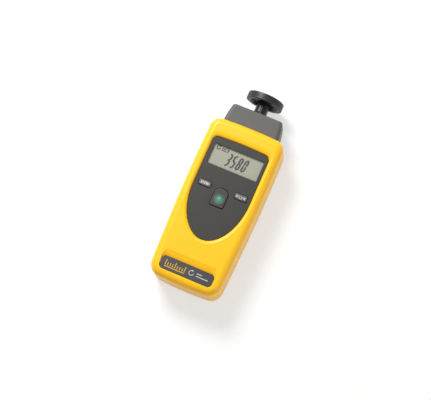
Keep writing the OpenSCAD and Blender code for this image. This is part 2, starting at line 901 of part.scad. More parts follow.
// Light emitter or detector: a round body with a domed end towards the shaft
module led(side) {
  translate([side * led_x, 0, 0]) {
    rod(led_r, sensor_front_at - holder_l, sensor_front_at - holder_l + led_l - led_r / 2);
    translate([0, at(sensor_front_at - holder_l + led_l - led_r / 2), axis_z])
      sphere(r = led_r * led_dome_share);
  }
}

module light_emitter() {
  color("#b03a3a") led(-1);
}

module light_detector() {
  color("#2b2f3a") led(1);
}

module sensor_window() {
  color("#7a2a2a", 0.6) rod(lens_r, sensor_front_at, well_floor_at);
}

// Half width of the adapter at a place: straight inside the case, drawn in outside it
function adapter_half_w(place) =
  let (share = max(0, (place - case_l) / adapter_out))
  adapter_w / 2 - (adapter_w - adapter_top_w) / 2 * pow(share, adapter_curve);

// Ring of the adapter's outline at a place, drawn in by inset
function adapter_ring(place, inset) =
  let (w = 2 * (adapter_half_w(place) - inset), r = max(adapter_corner_r - inset, adapter_least_r))
  [for (p = pad(w, adapter_t - 2 * inset, r, 5)) [p.x, at(place), axis_z - p.y]];

module adapter_form() {
  sides = [for (i = [0:adapter_n]) adapter_ring(case_l + (adapter_out - adapter_edge_r) * i / adapter_n, 0)];
  edge = [for (i = [1:4]) let (a = 90 * i / 4)
    adapter_ring(adapter_high_at + adapter_edge_r * (sin(a) - 1), adapter_edge_r * (1 - cos(a)))];
  loft(concat([adapter_ring(adapter_low_at, 0)], sides, edge));
}

module adapter_hollow() {
  deep_at = adapter_high_at - adapter_top_wall;
  curved = [for (i = [0:adapter_n]) adapter_ring(case_l + (deep_at - case_l) * i / adapter_n, adapter_wall)];
  loft(concat([adapter_ring(adapter_low_at - over, adapter_wall)], curved));
}

module adapter_housing() {
  color(mid_grey) difference() {
    union() {
      difference() {
        adapter_form();
        adapter_hollow();
      }
      rod(bearing_tube_r, bearing_rear_at - bearing_tube_run, adapter_high_at - adapter_top_wall / 2);
      both(base_screw_x) rod(base_post_r, adapter_low_at + base_t, adapter_high_at - adapter_top_wall / 2);
    }
    rod(bearing_d / 2, bearing_rear_at - bearing_tube_run - over, bearing_front_at + bearing_w);
    rod(bearing_inner_d / 2 + slide_gap, bearing_front_at, adapter_high_at + over);
    rod(bearing_d / 2 + ring_groove + run_gap, bearing_rear_at - ring_t - run_gap, bearing_rear_at);
    both(base_screw_x) rod(board_screw_r + run_gap, adapter_low_at, adapter_low_at + base_t + board_screw_l);
  }
}

module adapter_base() {
  color(mid_grey) difference() {
    along(adapter_low_at) translate([0, axis_z, 0]) linear_extrude(base_t)
      polygon(pad(adapter_w - 2 * adapter_wall - 2 * seat_gap, adapter_t - 2 * adapter_wall - 2 * seat_gap,
        max(adapter_corner_r - adapter_wall, adapter_least_r)));
    rod(lens_r, adapter_low_at - over, adapter_low_at + base_t + over);
    both(base_screw_x) {
      rod(board_screw_r + screw_gap, adapter_low_at - over, adapter_low_at + base_t + over);
      rod(board_screw_head_r + screw_gap, adapter_low_at - over, adapter_low_at + base_t / 2);
    }
  }
}

// Groove of the balls in both rings of a bearing
module ball_track(low_at) {
  translate([0, at(low_at + bearing_w / 2), axis_z]) rotate([90, 0, 0])
    rotate_extrude() translate([ball_path_r, 0]) circle(r = ball_r + ball_gap, $fn = 32);
}

module bearing_outer_rings() {
  color(steel) for (low_at = [bearing_rear_at, bearing_front_at]) difference() {
    collar(bearing_d / 2, bearing_d / 2 - bearing_outer_wall, low_at, low_at + bearing_w);
    ball_track(low_at);
  }
}

module bearing_inner_rings() {
  color(steel) for (low_at = [bearing_rear_at, bearing_front_at]) difference() {
    collar(bearing_inner_d / 2, shaft_d / 2, low_at, low_at + bearing_w);
    ball_track(low_at);
  }
}

module bearing_balls() {
  color(steel) for (low_at = [bearing_rear_at, bearing_front_at], i = [0:ball_count - 1])
    let (a = 360 * i / ball_count)
      translate([ball_path_r * cos(a), at(low_at + bearing_w / 2), axis_z + ball_path_r * sin(a)])
        sphere(r = ball_r, $fn = 24);
}

module bearing_spacer() {
  r = bearing_d / 2;
  color(steel) collar(r, r - bearing_outer_wall, bearing_rear_at + bearing_w, bearing_front_at);
}

// Open ring that snaps into a groove behind the rear bearing
module bearing_ring() {
  outer_r = bearing_d / 2 + ring_groove;
  color(steel) difference() {
    collar(outer_r, outer_r - ring_w, bearing_rear_at - ring_t, bearing_rear_at);
    translate([0, at(bearing_rear_at) - ring_t / 2, axis_z - outer_r])
      cube([bearing_d / 2, ring_t + 2 * over, bearing_d / 2], center = true);
  }
}

module drive_shaft() {
  collar_end_at = bearing_front_at + bearing_w + adapter_top_wall / 2;
  color(steel) difference() {
    union() {
      rod(shaft_d / 2, encoder_at, shaft_end_at);
      rod(bearing_inner_d / 2 - flush_gap, bearing_front_at + bearing_w, collar_end_at);
    }
    collar(shaft_d, shaft_d / 2 - clip_groove, bearing_rear_at - clip_t, bearing_rear_at);
  }
}

// Open clip in the shaft's groove, against the rear bearing's inner ring
module shaft_clip() {
  color(steel) difference() {
    collar(clip_r, shaft_d / 2 - clip_groove, bearing_rear_at - clip_t, bearing_rear_at);
    translate([0, at(bearing_rear_at) - clip_t / 2, axis_z - clip_r])
      cube([shaft_d - 2 * clip_groove, clip_t + 2 * over, 2 * clip_r], center = true);
  }
}

// Slotted disc that the sensor counts
module encoder_disc() {
  color(black) difference() {
    union() {
      rod(encoder_r, encoder_at, encoder_at + encoder_t);
      rod(encoder_hub_r, encoder_at, encoder_at + encoder_t + encoder_hub_l);
    }
    rod(shaft_d / 2, encoder_at - over, encoder_at + encoder_t + encoder_hub_l + over);
    for (i = [0:encoder_slots - 1])
      translate([0, at(encoder_at), axis_z]) rotate([0, 360 * i / encoder_slots, 0])
        block([(encoder_hub_r + encoder_r) / 2 - encoder_slot_w, -over, -encoder_slot_w / 2],
          [encoder_r + over, encoder_t + over, encoder_slot_w / 2]);
  }
}

// Wheel body: hub, web and rim turned in one profile of radius and place along the hub
module contact_wheel() {
  rim_r = wheel_d / 2 - tyre_t;
  web_low = hub_l + wheel_t - web_t - web_sink;
  profile = concat(
    [[0, 0], [hub_d / 2 - wheel_bevel / 2, 0], [hub_d / 2, wheel_bevel / 2]],
    [for (p = arc([hub_d / 2 + hub_fillet, web_low - hub_fillet], hub_fillet, 180, 90, 5)) [p.x, p.y]],
    [[rim_r - rim_w, web_low], [rim_r - rim_w / 2, hub_l], [rim_r, hub_l],
      [rim_r, hub_l + wheel_t], [rim_r - rim_w / 2, hub_l + wheel_t],
      [rim_r - rim_w / 2 - web_sink, hub_l + wheel_t - web_sink], [0, hub_l + wheel_t - web_sink]]
  );
  color(black) difference() {
    translate([0, 0, axis_z]) along(hub_at) rotate_extrude($fn = 96) polygon(profile);
    rod(shaft_d / 2 + run_gap, hub_at - over, shaft_end_at + shaft_end_gap);
    for (turn = [0, 90]) translate([0, at(hub_at) - over, axis_z]) rotate([0, turn, 0])
      block([-hub_d, 0, -hub_slot_w / 2], [hub_d, hub_slot_l + over, hub_slot_w / 2]);
  }
}

module wheel_tyre() {
  r = wheel_d / 2;
  color("#262628") translate([0, 0, axis_z]) along(wheel_at) rotate_extrude($fn = 96) polygon([
    [r - tyre_t, 0], [r - wheel_bevel, 0], [r, wheel_bevel], [r, wheel_t - wheel_bevel],
    [r - wheel_bevel, wheel_t], [r - tyre_t, wheel_t]
  ]);
}

module case_screws() {
  color(steel) at_screws() translate([0, 0, screw_sink]) {
    translate([0, 0, -screw_head_h]) cylinder(r = screw_head_r, h = screw_head_h);
    cylinder(r = screw_r, h = screw_l);
  }
}

module board_screws() {
  color(steel) at_posts() translate([0, 0, board_z]) {
    translate([0, 0, -board_screw_head_h]) cylinder(r = board_screw_head_r, h = board_screw_head_h);
    cylinder(r = board_screw_r, h = board_screw_l);
  }
}

module adapter_screws() {
  seat_at = adapter_low_at + base_t / 2;
  color(steel) both(base_screw_x) {
    rod(board_screw_head_r, seat_at - base_t / 2, seat_at);
    rod(board_screw_r, seat_at - base_t / 4, seat_at + board_screw_l);
  }
}

front_case();
rear_case();
battery_door();
fascia();
display_window();
label_plate();
lcd_panel();
lcd_frame();
contact_strips();
left_key();
right_key();
measure_key();
measure_marker();
key_mat();
main_board();
processor_chip();
board_parts();
battery_cells();
battery_springs();
battery_contacts();
sensor_board();
sensor_holder();
light_emitter();
light_detector();
sensor_window();
adapter_housing();
adapter_base();
bearing_outer_rings();
bearing_inner_rings();
bearing_balls();
bearing_spacer();
bearing_ring();
drive_shaft();
shaft_clip();
encoder_disc();
contact_wheel();
wheel_tyre();
case_screws();
board_screws();
adapter_screws();
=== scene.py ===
"""Looks of a hand-held contact tachometer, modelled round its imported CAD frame.

Axes: +X to the right of the display, +Y along the case towards the wheel, +Z out of the display.
Lengths are in metres. A place along the case is its distance from the case's bottom end.
"""

import contextlib
import functools
import math

import bpy
from mathutils import Matrix, Vector


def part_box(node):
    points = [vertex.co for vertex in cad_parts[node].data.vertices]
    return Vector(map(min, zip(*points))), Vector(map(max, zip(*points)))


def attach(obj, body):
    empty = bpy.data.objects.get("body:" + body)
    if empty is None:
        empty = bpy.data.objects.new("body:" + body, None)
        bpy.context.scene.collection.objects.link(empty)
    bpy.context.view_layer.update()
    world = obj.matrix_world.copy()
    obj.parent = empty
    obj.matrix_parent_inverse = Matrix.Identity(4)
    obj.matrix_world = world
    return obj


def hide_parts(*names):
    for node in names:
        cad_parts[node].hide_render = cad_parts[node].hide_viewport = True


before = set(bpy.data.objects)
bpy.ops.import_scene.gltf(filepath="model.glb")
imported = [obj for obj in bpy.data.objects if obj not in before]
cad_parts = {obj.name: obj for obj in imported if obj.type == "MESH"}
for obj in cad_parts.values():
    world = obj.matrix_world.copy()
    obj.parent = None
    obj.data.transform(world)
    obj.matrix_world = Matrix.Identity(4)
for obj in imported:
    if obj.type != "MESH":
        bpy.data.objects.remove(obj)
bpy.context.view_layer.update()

bl_info = {
    "name": "Contact tachometer",
    "version": (1, 0, 0),
    "blender": (4, 5, 0),
    "location": "3D View > Sidebar > Tachometer",
    "description": "Models the visible pieces of a contact tachometer round its CAD frame",
    "category": "Add Mesh",
}


def mm(value):
    return value / 1000


def linear(hex_code):
    """sRGB hex value as the linear colour that Blender works with."""
    shares = [int(hex_code[i:i + 2], 16) / 255 for i in (0, 2, 4)]
    return [s / 12.92 if s <= 0.04045 else ((s + 0.055) / 1.055) ** 2.4 for s in shares] + [1.0]


def length(name, size, what):
    return bpy.props.FloatProperty(name=name, description=what, default=size, min=0.0,
                                   unit="LENGTH", precision=4)


def colour(name, hex_code, what):
    return bpy.props.FloatVectorProperty(name=name, description=what, default=linear(hex_code),
                                         size=4, min=0.0, max=1.0, subtype="COLOR")


# Lowest and highest corners of the CAD nodes that the pieces are fitted to
FRONT_LOW, FRONT_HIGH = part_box("front_case")
FASCIA_LOW, FASCIA_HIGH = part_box("fascia")
GLASS_LOW, GLASS_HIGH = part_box("lcd_panel")
WINDOW_LOW, WINDOW_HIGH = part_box("display_window")
KEY_LOW, KEY_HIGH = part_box("left_key")
MARKER_LOW, MARKER_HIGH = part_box("measure_marker")
ADAPTER_LOW, ADAPTER_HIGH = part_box("adapter_housing")
RING_LOW, RING_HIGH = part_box("bearing_ring")
LENS_LOW, LENS_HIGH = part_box("sensor_window")
WHEEL_LOW, WHEEL_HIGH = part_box("contact_wheel")
TYRE_LOW, TYRE_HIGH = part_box("wheel_tyre")
DOOR_LOW, DOOR_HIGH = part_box("battery_door")
CELLS_LOW, CELLS_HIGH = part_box("battery_cells")
CONTACTS_LOW, CONTACTS_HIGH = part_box("battery_contacts")
SHAFT_END_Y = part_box("drive_shaft")[1].y
END_Y = FRONT_LOW.y
AXIS_Z = (WHEEL_LOW.z + WHEEL_HIGH.z) / 2

# Reach within which two places count as the same, and within which points are merged
TOUCH = mm(0.01)
MERGE = mm(0.001)
# Cosine of the turn within which a flat face counts as facing a way
FACING = 0.99
# Run of a cut past the face that it opens
OVER = mm(1)
# Gap round a piece laid in a seat, of a piece that slides, of a piece that is pressed in, and of the
# blocks at the joint of the halves
SEAT_GAP = mm(0.15)
SLIDE_GAP = mm(0.3)
PRESS_GAP = mm(0.03)
JOINT = mm(0.02)


class CaseSizes(bpy.types.PropertyGroup):
    width: length("Width", FRONT_HIGH.x - FRONT_LOW.x, "Greatest width of the case")
    end_width: length("End width", mm(60.5), "Width at the bottom end")
    top_width: length("Top width", mm(64.6), "Width at the top end")
    length: length("Length", FRONT_HIGH.y - END_Y, "Length along the middle")
    thickness: length("Thickness", FRONT_HIGH.z, "Height of the front face over the back")
    widest_at: length("Widest at", mm(92), "Place of the greatest width")
    end_corner: length("End corners", mm(9.5), "Radius of the two bottom corners")
    top_corner: length("Top corners", mm(8), "Radius of the two top corners")
    end_crown: length("End crown", mm(2), "How far the bottom end bulges")
    top_crown: length("Top crown", mm(1.3), "How far the top end bulges")
    front_edge: length("Front edge", mm(6), "Rounding of the front edge")
    back_edge: length("Back edge", mm(5), "Rounding of the back edge")
    wall: length("Wall", mm(2.2), "Thickness of the shell")
    split: length("Split", FRONT_LOW.z, "Height of the joint between the halves")
    seam: length("Seam", mm(0.4), "Chamfer at the joint")


class FasciaSizes(bpy.types.PropertyGroup):
    width: length("Width", mm(49.8), "Width of the fascia")
    top_at: length("Top", mm(127.1), "Place of its top edge in the middle")
    widest_at: length("Widest at", mm(83), "Place where its sides start to draw in")
    tip_at: length("Tip", mm(41.7), "Place of its lower tip")
    corner: length("Corners", mm(3.6), "Radius of its top corners")
    crown: length("Crown", mm(1.2), "How far its top edge bulges")
    edge: length("Edge", mm(0.3), "Rounding of its edge")
    side_slope: length("Side slope", mm(3), "Width of the sloping wall at its sides")
    top_slope: length("Top slope", mm(5), "Width of the sloping wall above it")
    panel: length("Panel", mm(2.2), "Thickness of the case's panel behind it")
    gap: length("Gap", mm(0.35), "Gap between the fascia and the case")


class DisplaySizes(bpy.types.PropertyGroup):
    width: length("Width", mm(44.2), "Width of the opening over the display")
    length: length("Length", mm(18), "Length of the opening over the display")
    at: length("Place", mm(112), "Place of the display's middle")
    corner: length("Corners", mm(0.5), "Radius of the opening's corners")
    digit: length("Digit height", mm(11.6), "Height of a digit")
    digit_width: length("Digit width", mm(3.7), "Width of a digit")
    pitch: length("Digit pitch", mm(4.85), "Distance from digit to digit")
    stroke: length("Stroke", mm(1.5), "Width of a digit's segment")
    right: length("Reading to the right", mm(1.1), "Distance of the digits from the middle line")
    down: length("Reading down", mm(0.3), "Distance of the digits below the display's middle")
    film: length("Film", mm(0.06), "Height of the digits over the glass")
    ledge: length("Ledge", mm(1.4), "How far the lower glass stands out under the upper one")
    slant: bpy.props.FloatProperty(name="Slant", description="Lean of the digits to the right",
                                   default=math.radians(9), subtype="ANGLE")


class KeySizes(bpy.types.PropertyGroup):
    width: length("Width", mm(10.8), "Width of a side key")
    length: length("Length", mm(5), "Length of a side key")
    x: length("Side", mm(16), "Distance of a side key from the middle line")
    at: length("Place", mm(86), "Place of the side keys")
    corner: length("Corners", mm(1.2), "Radius of a key's corners")
    arch_width: length("Arch width", mm(12), "Width of the measuring key")
    arch_low_at: length("Arch foot", mm(71.2), "Place of its lower edge")
    arch_high_at: length("Arch top", mm(87.2), "Place of its top")
    arch_rise: length("Arch rise", mm(5), "Height of its arched part")
    gap: length("Gap", mm(0.45), "Gap between a key and its opening")
    round: length("Rounding", mm(0.55), "Rounding of a key's face")
    flange: length("Flange", mm(0.8), "Thickness of the flange behind the panel")
    flange_reach: length("Flange reach", mm(1), "How far the flange reaches past the opening")
    # The measuring key's glow is painted into the base colour of the key and its marker; these two place
    # it and set its reach
    painted_glow_up: length("Glow place", mm(6.4), "Height of the green glow over the arch's foot")
    painted_glow_reach: length("Glow reach", mm(5.6), "Radius within which the glow fades")


class LabelSizes(bpy.types.PropertyGroup):
    width: length("Width", mm(46), "Width of the label plate")
    length: length("Length", mm(11.3), "Length of the label plate")
    thickness: length("Thickness", mm(0.8), "Thickness of the label plate")
    at: length("Place", mm(12.8), "Place of its middle")
    deep: length("Upper depth", mm(2), "Depth of its upper edge under the front face")
    shallow: length("Lower depth", mm(0.4), "Depth of its lower edge under the front face")
    corner: length("Corners", mm(3.3), "Radius of its corners")
    edge: length("Edge", mm(0.15), "Rounding of its edge")
    top_run: length("Upper slope", mm(3.4), "Width of the slope above it")
    side_run: length("Side slope", mm(0.9), "Width of the slope round the rest of it")


class AdapterSizes(bpy.types.PropertyGroup):
    width: length("Width", mm(49), "Width where it leaves the case")
    top_width: length("End width", mm(44), "Width at its outer end")
    thickness: length("Thickness", ADAPTER_HIGH.z - ADAPTER_LOW.z, "Thickness of the adapter")
    corner: length("Long edges", mm(3.5), "Radius of its long edges")
    edge: length("Outer edge", mm(1.4), "Rounding of its outer end")
    wall: length("Wall", mm(2), "Thickness of its wall")
    top_wall: length("Outer wall", mm(2.4), "Thickness of its outer end")
    bearing: length("Bearing bore", mm(13), "Bore for the bearings")
    tube_wall: length("Bearing wall", mm(2), "Thickness of the tube round the bearings")
    tube_lip: length("Tube lip", mm(1.2), "Run of the tube past the bearings' retaining ring")
    shaft_hole: length("Shaft hole", mm(8.6), "Hole round the shaft's shoulder")
    post_x: length("Posts", mm(17), "Distance of the screw posts from the middle line")
    post: length("Post", mm(5.4), "Diameter of a screw post")
    base: length("Base", mm(1.8), "Thickness of the base plate under the posts")
    screw_hole: length("Screw hole", mm(2.06), "Diameter of a screw hole")
    screw_depth: length("Screw depth", mm(6.6), "Depth of a screw hole under the base plate's face")


class WheelSizes(bpy.types.PropertyGroup):
    shaft: length("Shaft", mm(6), "Diameter of the shaft")
    shaft_end: length("Shaft end", mm(0.2), "Room past the shaft's end")
    hub: length("Hub", mm(11), "Diameter of the hub")
    hub_length: length("Hub length", TYRE_LOW.y - WHEEL_LOW.y, "Length of the hub behind the wheel")
    fillet: length("Fillet", mm(1.6), "Radius between the hub and the web")
    edge: length("Edges", mm(0.35), "Chamfer of its edges")
    rim: length("Rim", mm(3.2), "Width of the rim seen from the side")
    web: length("Web", mm(2.6), "Thickness of the web")
    web_sink: length("Web sink", mm(0.5), "Depth of the web under the rim")
    slot: length("Slot", mm(1.3), "Width of the slots in the hub")
    slot_length: length("Slot length", mm(6), "Length of the slots in the hub")
    tyre: length("Tyre", mm(1.6), "Thickness of the tyre")
    tyre_edge: length("Tyre edge", mm(0.5), "Rounding of the tyre's two edges")
    tyre_foot: length("Tyre foot", mm(0.15), "Chamfer of the tyre at the rim")
    groove: length("Groove", mm(0.25), "Depth of a groove in the tread")


class DoorSizes(bpy.types.PropertyGroup):
    width: length("Width", mm(38), "Width of the battery door")
    corner: length("Corners", mm(4), "Radius of its two inner corners")
    edge: length("Edges", mm(0.2), "Rounding of its edges")
    tongue: length("Tongue", mm(1.2), "Width of the tongue that holds it")
    tongue_height: length("Tongue height", mm(0.8), "Thickness of the tongue")
    tongue_up: length("Tongue place", mm(0.6), "Height of the tongue over the door's face")
    groove: length("Groove", mm(1.1), "Width of a finger groove")
    groove_length: length("Groove length", mm(16), "Length of a finger groove")
    groove_pitch: length("Groove pitch", mm(2.6), "Distance from groove to groove")
    groove_depth: length("Groove depth", mm(0.6), "Depth of the grooves and the arrow")
    grooves_at: length("Grooves", mm(14), "Place of the first groove")
    arrow: length("Arrow", mm(4), "Radius of the arrow that shows the way")
    arrow_at: length("Arrow place", mm(9.5), "Place of the arrow")
    bay_wall: length("Bay wall", mm(1.6), "Thickness of the walls round the cells and the door")


class ScrewSizes(bpy.types.PropertyGroup):
    diameter: length("Diameter", mm(3), "Diameter of a case screw")
    length: length("Length", mm(20), "Length of its shank")
    head: length("Head", mm(5.2), "Diameter of its head")
    head_height: length("Head height", mm(2), "Height of its head")
    head_edge: length("Head edge", mm(0.5), "Rounding of its head")
    cross: length("Cross", mm(3), "Length of the cross in its head")
    cross_width: length("Cross width", mm(0.7), "Width of the cross's bars")
    cross_floor: length("Cross floor", mm(0.8), "Thickness of the head under the cross")
    sink: length("Sink", mm(4.2), "Depth of the head's seat over the back")
    gap: length("Gap", mm(0.1), "Gap round the head and the shank in the rear half")
    low_at: length("Lower place", mm(14), "Place of the two lower screws")
    high_at: length("Upper place", mm(121.6), "Place of the two upper screws")
    rear_boss: length("Rear boss", mm(8), "Diameter of a boss in the rear half")
    front_boss: length("Front boss", mm(6), "Diameter of a boss in the front half")


class Colours(bpy.types.PropertyGroup):
    case: colour("Case", "FFC01A", "Moulded plastic of the case and the battery door")
    fascia: colour("Fascia", "3D3C39", "Fascia and measuring key")
    keys: colour("Keys", "52514F", "Side keys")
    adapter: colour("Adapter", "605F5D", "Housing of the adapter")
    display: colour("Display", "9D9A89", "Reflector of the display")
    segments: colour("Segments", "0F100E", "Digits of the display")
    # The marker colour is the middle of a painted glow, which fades into the fascia colour
    marker: colour("Marker", "4D8A72", "Lit marker in the measuring key")
    label: colour("Label", "3C3B3E", "Label plate")
    wheel: colour("Wheel", "1B1B1D", "Hub and web of the wheel")
    tyre: colour("Tyre", "262627", "Tyre of the wheel")


SIZE_GROUPS = {
    "case": CaseSizes, "fascia": FasciaSizes, "display": DisplaySizes, "keys": KeySizes,
    "label": LabelSizes, "adapter": AdapterSizes, "wheel": WheelSizes, "door": DoorSizes,
    "screws": ScrewSizes, "colours": Colours,
}


class TachometerSettings(bpy.types.PropertyGroup):
    __annotations__ = {name: bpy.props.PointerProperty(type=group, name=name.capitalize())
                       for name, group in SIZE_GROUPS.items()}


def settings():
    return bpy.context.scene.tachometer


def at(place):
    return END_Y + place


# Modelling helpers

def near(a, b):
    return abs(a - b) < TOUCH


def everything(*_):
    return True


def only(piece):
    """Select one piece alone and make it active."""
    bpy.ops.object.select_all(action="DESELECT")
    piece.select_set(True)
    bpy.context.view_layer.objects.active = piece


@contextlib.contextmanager
def picked(piece, kind, test=everything):
    """Edit mode on a piece, with only what passes the test selected.

    A vertex is tested by its place, an edge by its two ends, and a face by its middle and normal.
    """
    only(piece)
    bpy.ops.object.mode_set(mode="EDIT")
    bpy.ops.mesh.select_mode(type=kind)
    bpy.ops.mesh.select_all(action="DESELECT")
    bpy.ops.object.mode_set(mode="OBJECT")
    mesh = piece.data
    if kind == "VERT":
        for vertex in mesh.vertices:
            vertex.select = test(vertex.co)
    elif kind == "EDGE":
        for edge in mesh.edges:
            edge.select = test(*[mesh.vertices[i].co for i in edge.vertices])
    else:
        for face in mesh.polygons:
            face.select = test(face.center, face.normal)
    bpy.ops.object.mode_set(mode="EDIT")
    yield
    bpy.ops.object.mode_set(mode="OBJECT")


def applied(piece):
    """Move a piece's place, turn and scale into its mesh."""
    only(piece)
    bpy.ops.object.transform_apply(location=True, rotation=True, scale=True)
    return piece


def start(name, shape, **options):
    """Add a primitive, with its place, turn and scale in its mesh."""
    bpy.ops.object.select_all(action="DESELECT")
    getattr(bpy.ops.mesh, f"primitive_{shape}_add")(**options)
    piece = applied(bpy.context.object)
    piece.name = name
    return piece


def box(name, low, high):
    low, high = Vector(low), Vector(high)
    return start(name, "cube", size=1, location=(low + high) / 2, scale=high - low)


def peg(name, radius, low, high, sides=32):
    """Round bar from one point to another along Y or Z."""
    low, high = Vector(low), Vector(high)
    turn = (-math.pi / 2, 0, 0) if high.y - low.y > TOUCH else (0, 0, 0)
    return start(name, "cylinder", vertices=sides, radius=radius, depth=(high - low).length,
                 location=(low + high) / 2, rotation=turn)


def axle(name, radius, y0, y1, x=0.0, sides=48):
    """Round bar along the shaft's axis."""
    return peg(name, radius, (x, y0, AXIS_Z), (x, y1, AXIS_Z), sides)


def arrow_head(name, radius, middle, thickness, turn=-math.pi / 2):
    """Upright triangle that points along X, or along -Y where the turn is half a circle."""
    return start(name, "cylinder", vertices=3, radius=radius, depth=thickness, location=middle,
                 rotation=(0, 0, turn))


def bevel(size, segments=1, **more):
    bpy.ops.mesh.bevel(offset=size, segments=segments, clamp_overlap=False, **more)


def extrude(shift):
    bpy.ops.mesh.extrude_region_move(TRANSFORM_OT_translate={"value": shift})


def round_upright(piece, radius, segments, test=everything):
    """Round the upright edges whose ends pass the test."""
    with picked(piece, "EDGE", lambda a, b: abs(a.z - b.z) > TOUCH and test(a)):
        bevel(radius, segments)


def round_rim(piece, size, segments, facing=(0, 0, 1)):
    """Round the outline of the flat faces that face one way."""
    with picked(piece, "FACE", lambda c, n: n.dot(Vector(facing)) > FACING):
        bpy.ops.mesh.dissolve_faces()
        bpy.ops.mesh.region_to_loop()
        bevel(size, segments)


def plate(name, low, high, radius, segments=6):
    """Flat plate with rounded upright corners."""
    piece = box(name, low, high)
    round_upright(piece, radius, segments)
    return piece


def slab(name, middle, half, low, high):
    """Flat plate about a middle in X and Y, from its half sizes and its two levels."""
    return box(name, (middle[0] - half[0], middle[1] - half[1], low),
               (middle[0] + half[0], middle[1] + half[1], high))


def bar(name, width, thickness, radius, y0, y1, segments=8):
    """Bar along the shaft's axis with rounded long edges."""
    piece = box(name, (-width / 2, y0, AXIS_Z - thickness / 2), (width / 2, y1, AXIS_Z + thickness / 2))
    with picked(piece, "EDGE", lambda a, b: abs(a.y - b.y) > TOUCH):
        bevel(radius, segments)
    return piece


def modify(piece, kind, **options):
    """Add a modifier with its options, and apply it."""
    only(piece)
    step = piece.modifiers.new(kind.lower(), kind)
    for name, value in options.items():
        setattr(step, name, value)
    bpy.ops.object.modifier_apply(modifier=step.name)
    return piece


def combine(operation, piece, *tools):
    """Boolean of a piece with each tool in turn. The tools are used up."""
    for tool in tools:
        modify(piece, "BOOLEAN", operation=operation, solver="EXACT", object=tool)
        bpy.data.objects.remove(tool)
    return piece


cut = functools.partial(combine, "DIFFERENCE")
unite = functools.partial(combine, "UNION")
overlap = functools.partial(combine, "INTERSECT")


def cross(name, middle, arm, line, low, high):
    """Two crossed bars, from their half length and half width."""
    return unite(slab(name, middle, (arm, line), low, high), slab(name, middle, (line, arm), low, high))


def copy(piece, name, shift):
    """Copy of a piece with its own mesh, moved by shift."""
    only(piece)
    bpy.ops.object.duplicate()
    twin = bpy.context.object
    twin.location = shift
    twin.name = name
    return applied(twin)


def joined(name, pieces):
    """Make one object of several, each still a closed shape of its own."""
    only(pieces[0])
    for piece in pieces:
        piece.select_set(True)
    bpy.ops.object.join()
    pieces[0].name = name
    return pieces[0]


def slices(piece, axis, places):
    """Cut edges into a piece at places along an axis, without opening it."""
    axis = Vector(axis)
    with picked(piece, "FACE"):
        for place in places:
            bpy.ops.mesh.select_all(action="SELECT")
            bpy.ops.mesh.bisect(plane_co=axis * place, plane_no=axis)


def steps(low, high, count):
    """The places that part a stretch into count equal lengths, without its ends."""
    return [low + (high - low) * i / count for i in range(1, count)]


def levels(piece):
    """The places along Y where a piece has points, each once."""
    found = []
    for y in sorted(vertex.co.y for vertex in piece.data.vertices):
        if not found or y - found[-1] > 2 * TOUCH:
            found.append(y)
    return found


def drawn_in(piece, share_at):
    """Scale a piece's width at each place along Y by the share that holds there."""
    for y in levels(piece):
        with picked(piece, "VERT", lambda p: near(p.y, y)):
            bpy.ops.transform.resize(value=(share_at(y), 1, 1), center_override=(0, y, 0))


def swell(piece, y, rise, reach):
    """Push the middle of an end at y outwards, and less and less of what lies beside it."""
    with picked(piece, "VERT", lambda p: near(p.x, 0) and near(p.y, y)):
        bpy.ops.transform.translate(value=(0, rise, 0), use_proportional_edit=True,
                                    proportional_edit_falloff="INVERSE_SQUARE",
                                    proportional_size=reach)


def outwards(piece):
    """Merge the points that meet, and turn the faces outwards."""
    with picked(piece, "FACE"):
        bpy.ops.mesh.remove_doubles(threshold=MERGE)
        bpy.ops.mesh.select_all(action="SELECT")
        bpy.ops.mesh.normals_make_consistent(inside=False)
    return piece


def softened(piece, width):
    """Small rounding of all the edges sharper than 40 degrees."""
    return modify(piece, "BEVEL", width=width, segments=2, limit_method="ANGLE",
                  angle_limit=math.radians(40), use_clamp_overlap=True)


def polished(piece, angle=32):
    """Smooth shading, with the flat faces kept flat."""
    only(piece)
    bpy.ops.object.shade_smooth_by_angle(angle=math.radians(angle))
    return modify(piece, "WEIGHTED_NORMAL", keep_sharp=True)


def finished(piece, material, body, slot, *nodes):
    """Give a piece its material and body, and hide the CAD nodes that it stands for. slot is not used."""
    piece.data.materials.clear()
    piece.data.materials.append(material)
    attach(piece, body)
    if nodes:
        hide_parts(*nodes)


# Sides of a whole ellipse, steps of a rounded corner and cuts of a bulging edge in half_round
ROUND_SIDES = 96
ROUND_CORNER_STEPS = 6
CROWN_CUTS = 15


def half_round(name, half, middle, rise, straight, corner, crown, low, high):
    """Upright plate: half an ellipse on a rectangle. A negative rise points the ellipse down.

    The rectangle's far corners are rounded by corner, and its far side bulges by crown.
    """
    far = middle + straight
    way = 1 if rise > 0 else -1
    piece = start(name, "circle", vertices=ROUND_SIDES, radius=half, fill_type="NGON",
                  location=(0, middle, low))
    with picked(piece, "FACE"):
        bpy.ops.transform.resize(value=(1, abs(rise) / half, 1), center_override=(0, middle, low))
        bpy.ops.mesh.bisect(plane_co=(0, middle, low), plane_no=(0, -way, 0), clear_outer=True)
    with picked(piece, "EDGE", lambda a, b: near(a.y, middle) and near(b.y, middle)):
        extrude((0, straight, 0))
    with picked(piece, "VERT", lambda p: near(p.y, far)):
        bevel(corner, ROUND_CORNER_STEPS, affect="VERTICES")
    with picked(piece, "FACE"):
        bpy.ops.mesh.dissolve_faces()
    if crown > TOUCH:
        with picked(piece, "EDGE", lambda a, b: near(a.y, far) and near(b.y, far)):
            bpy.ops.mesh.subdivide(number_cuts=CROWN_CUTS)
        swell(piece, far, -way * crown, half)
    with picked(piece, "FACE"):
        extrude((0, 0, high - low))
    return outwards(piece)


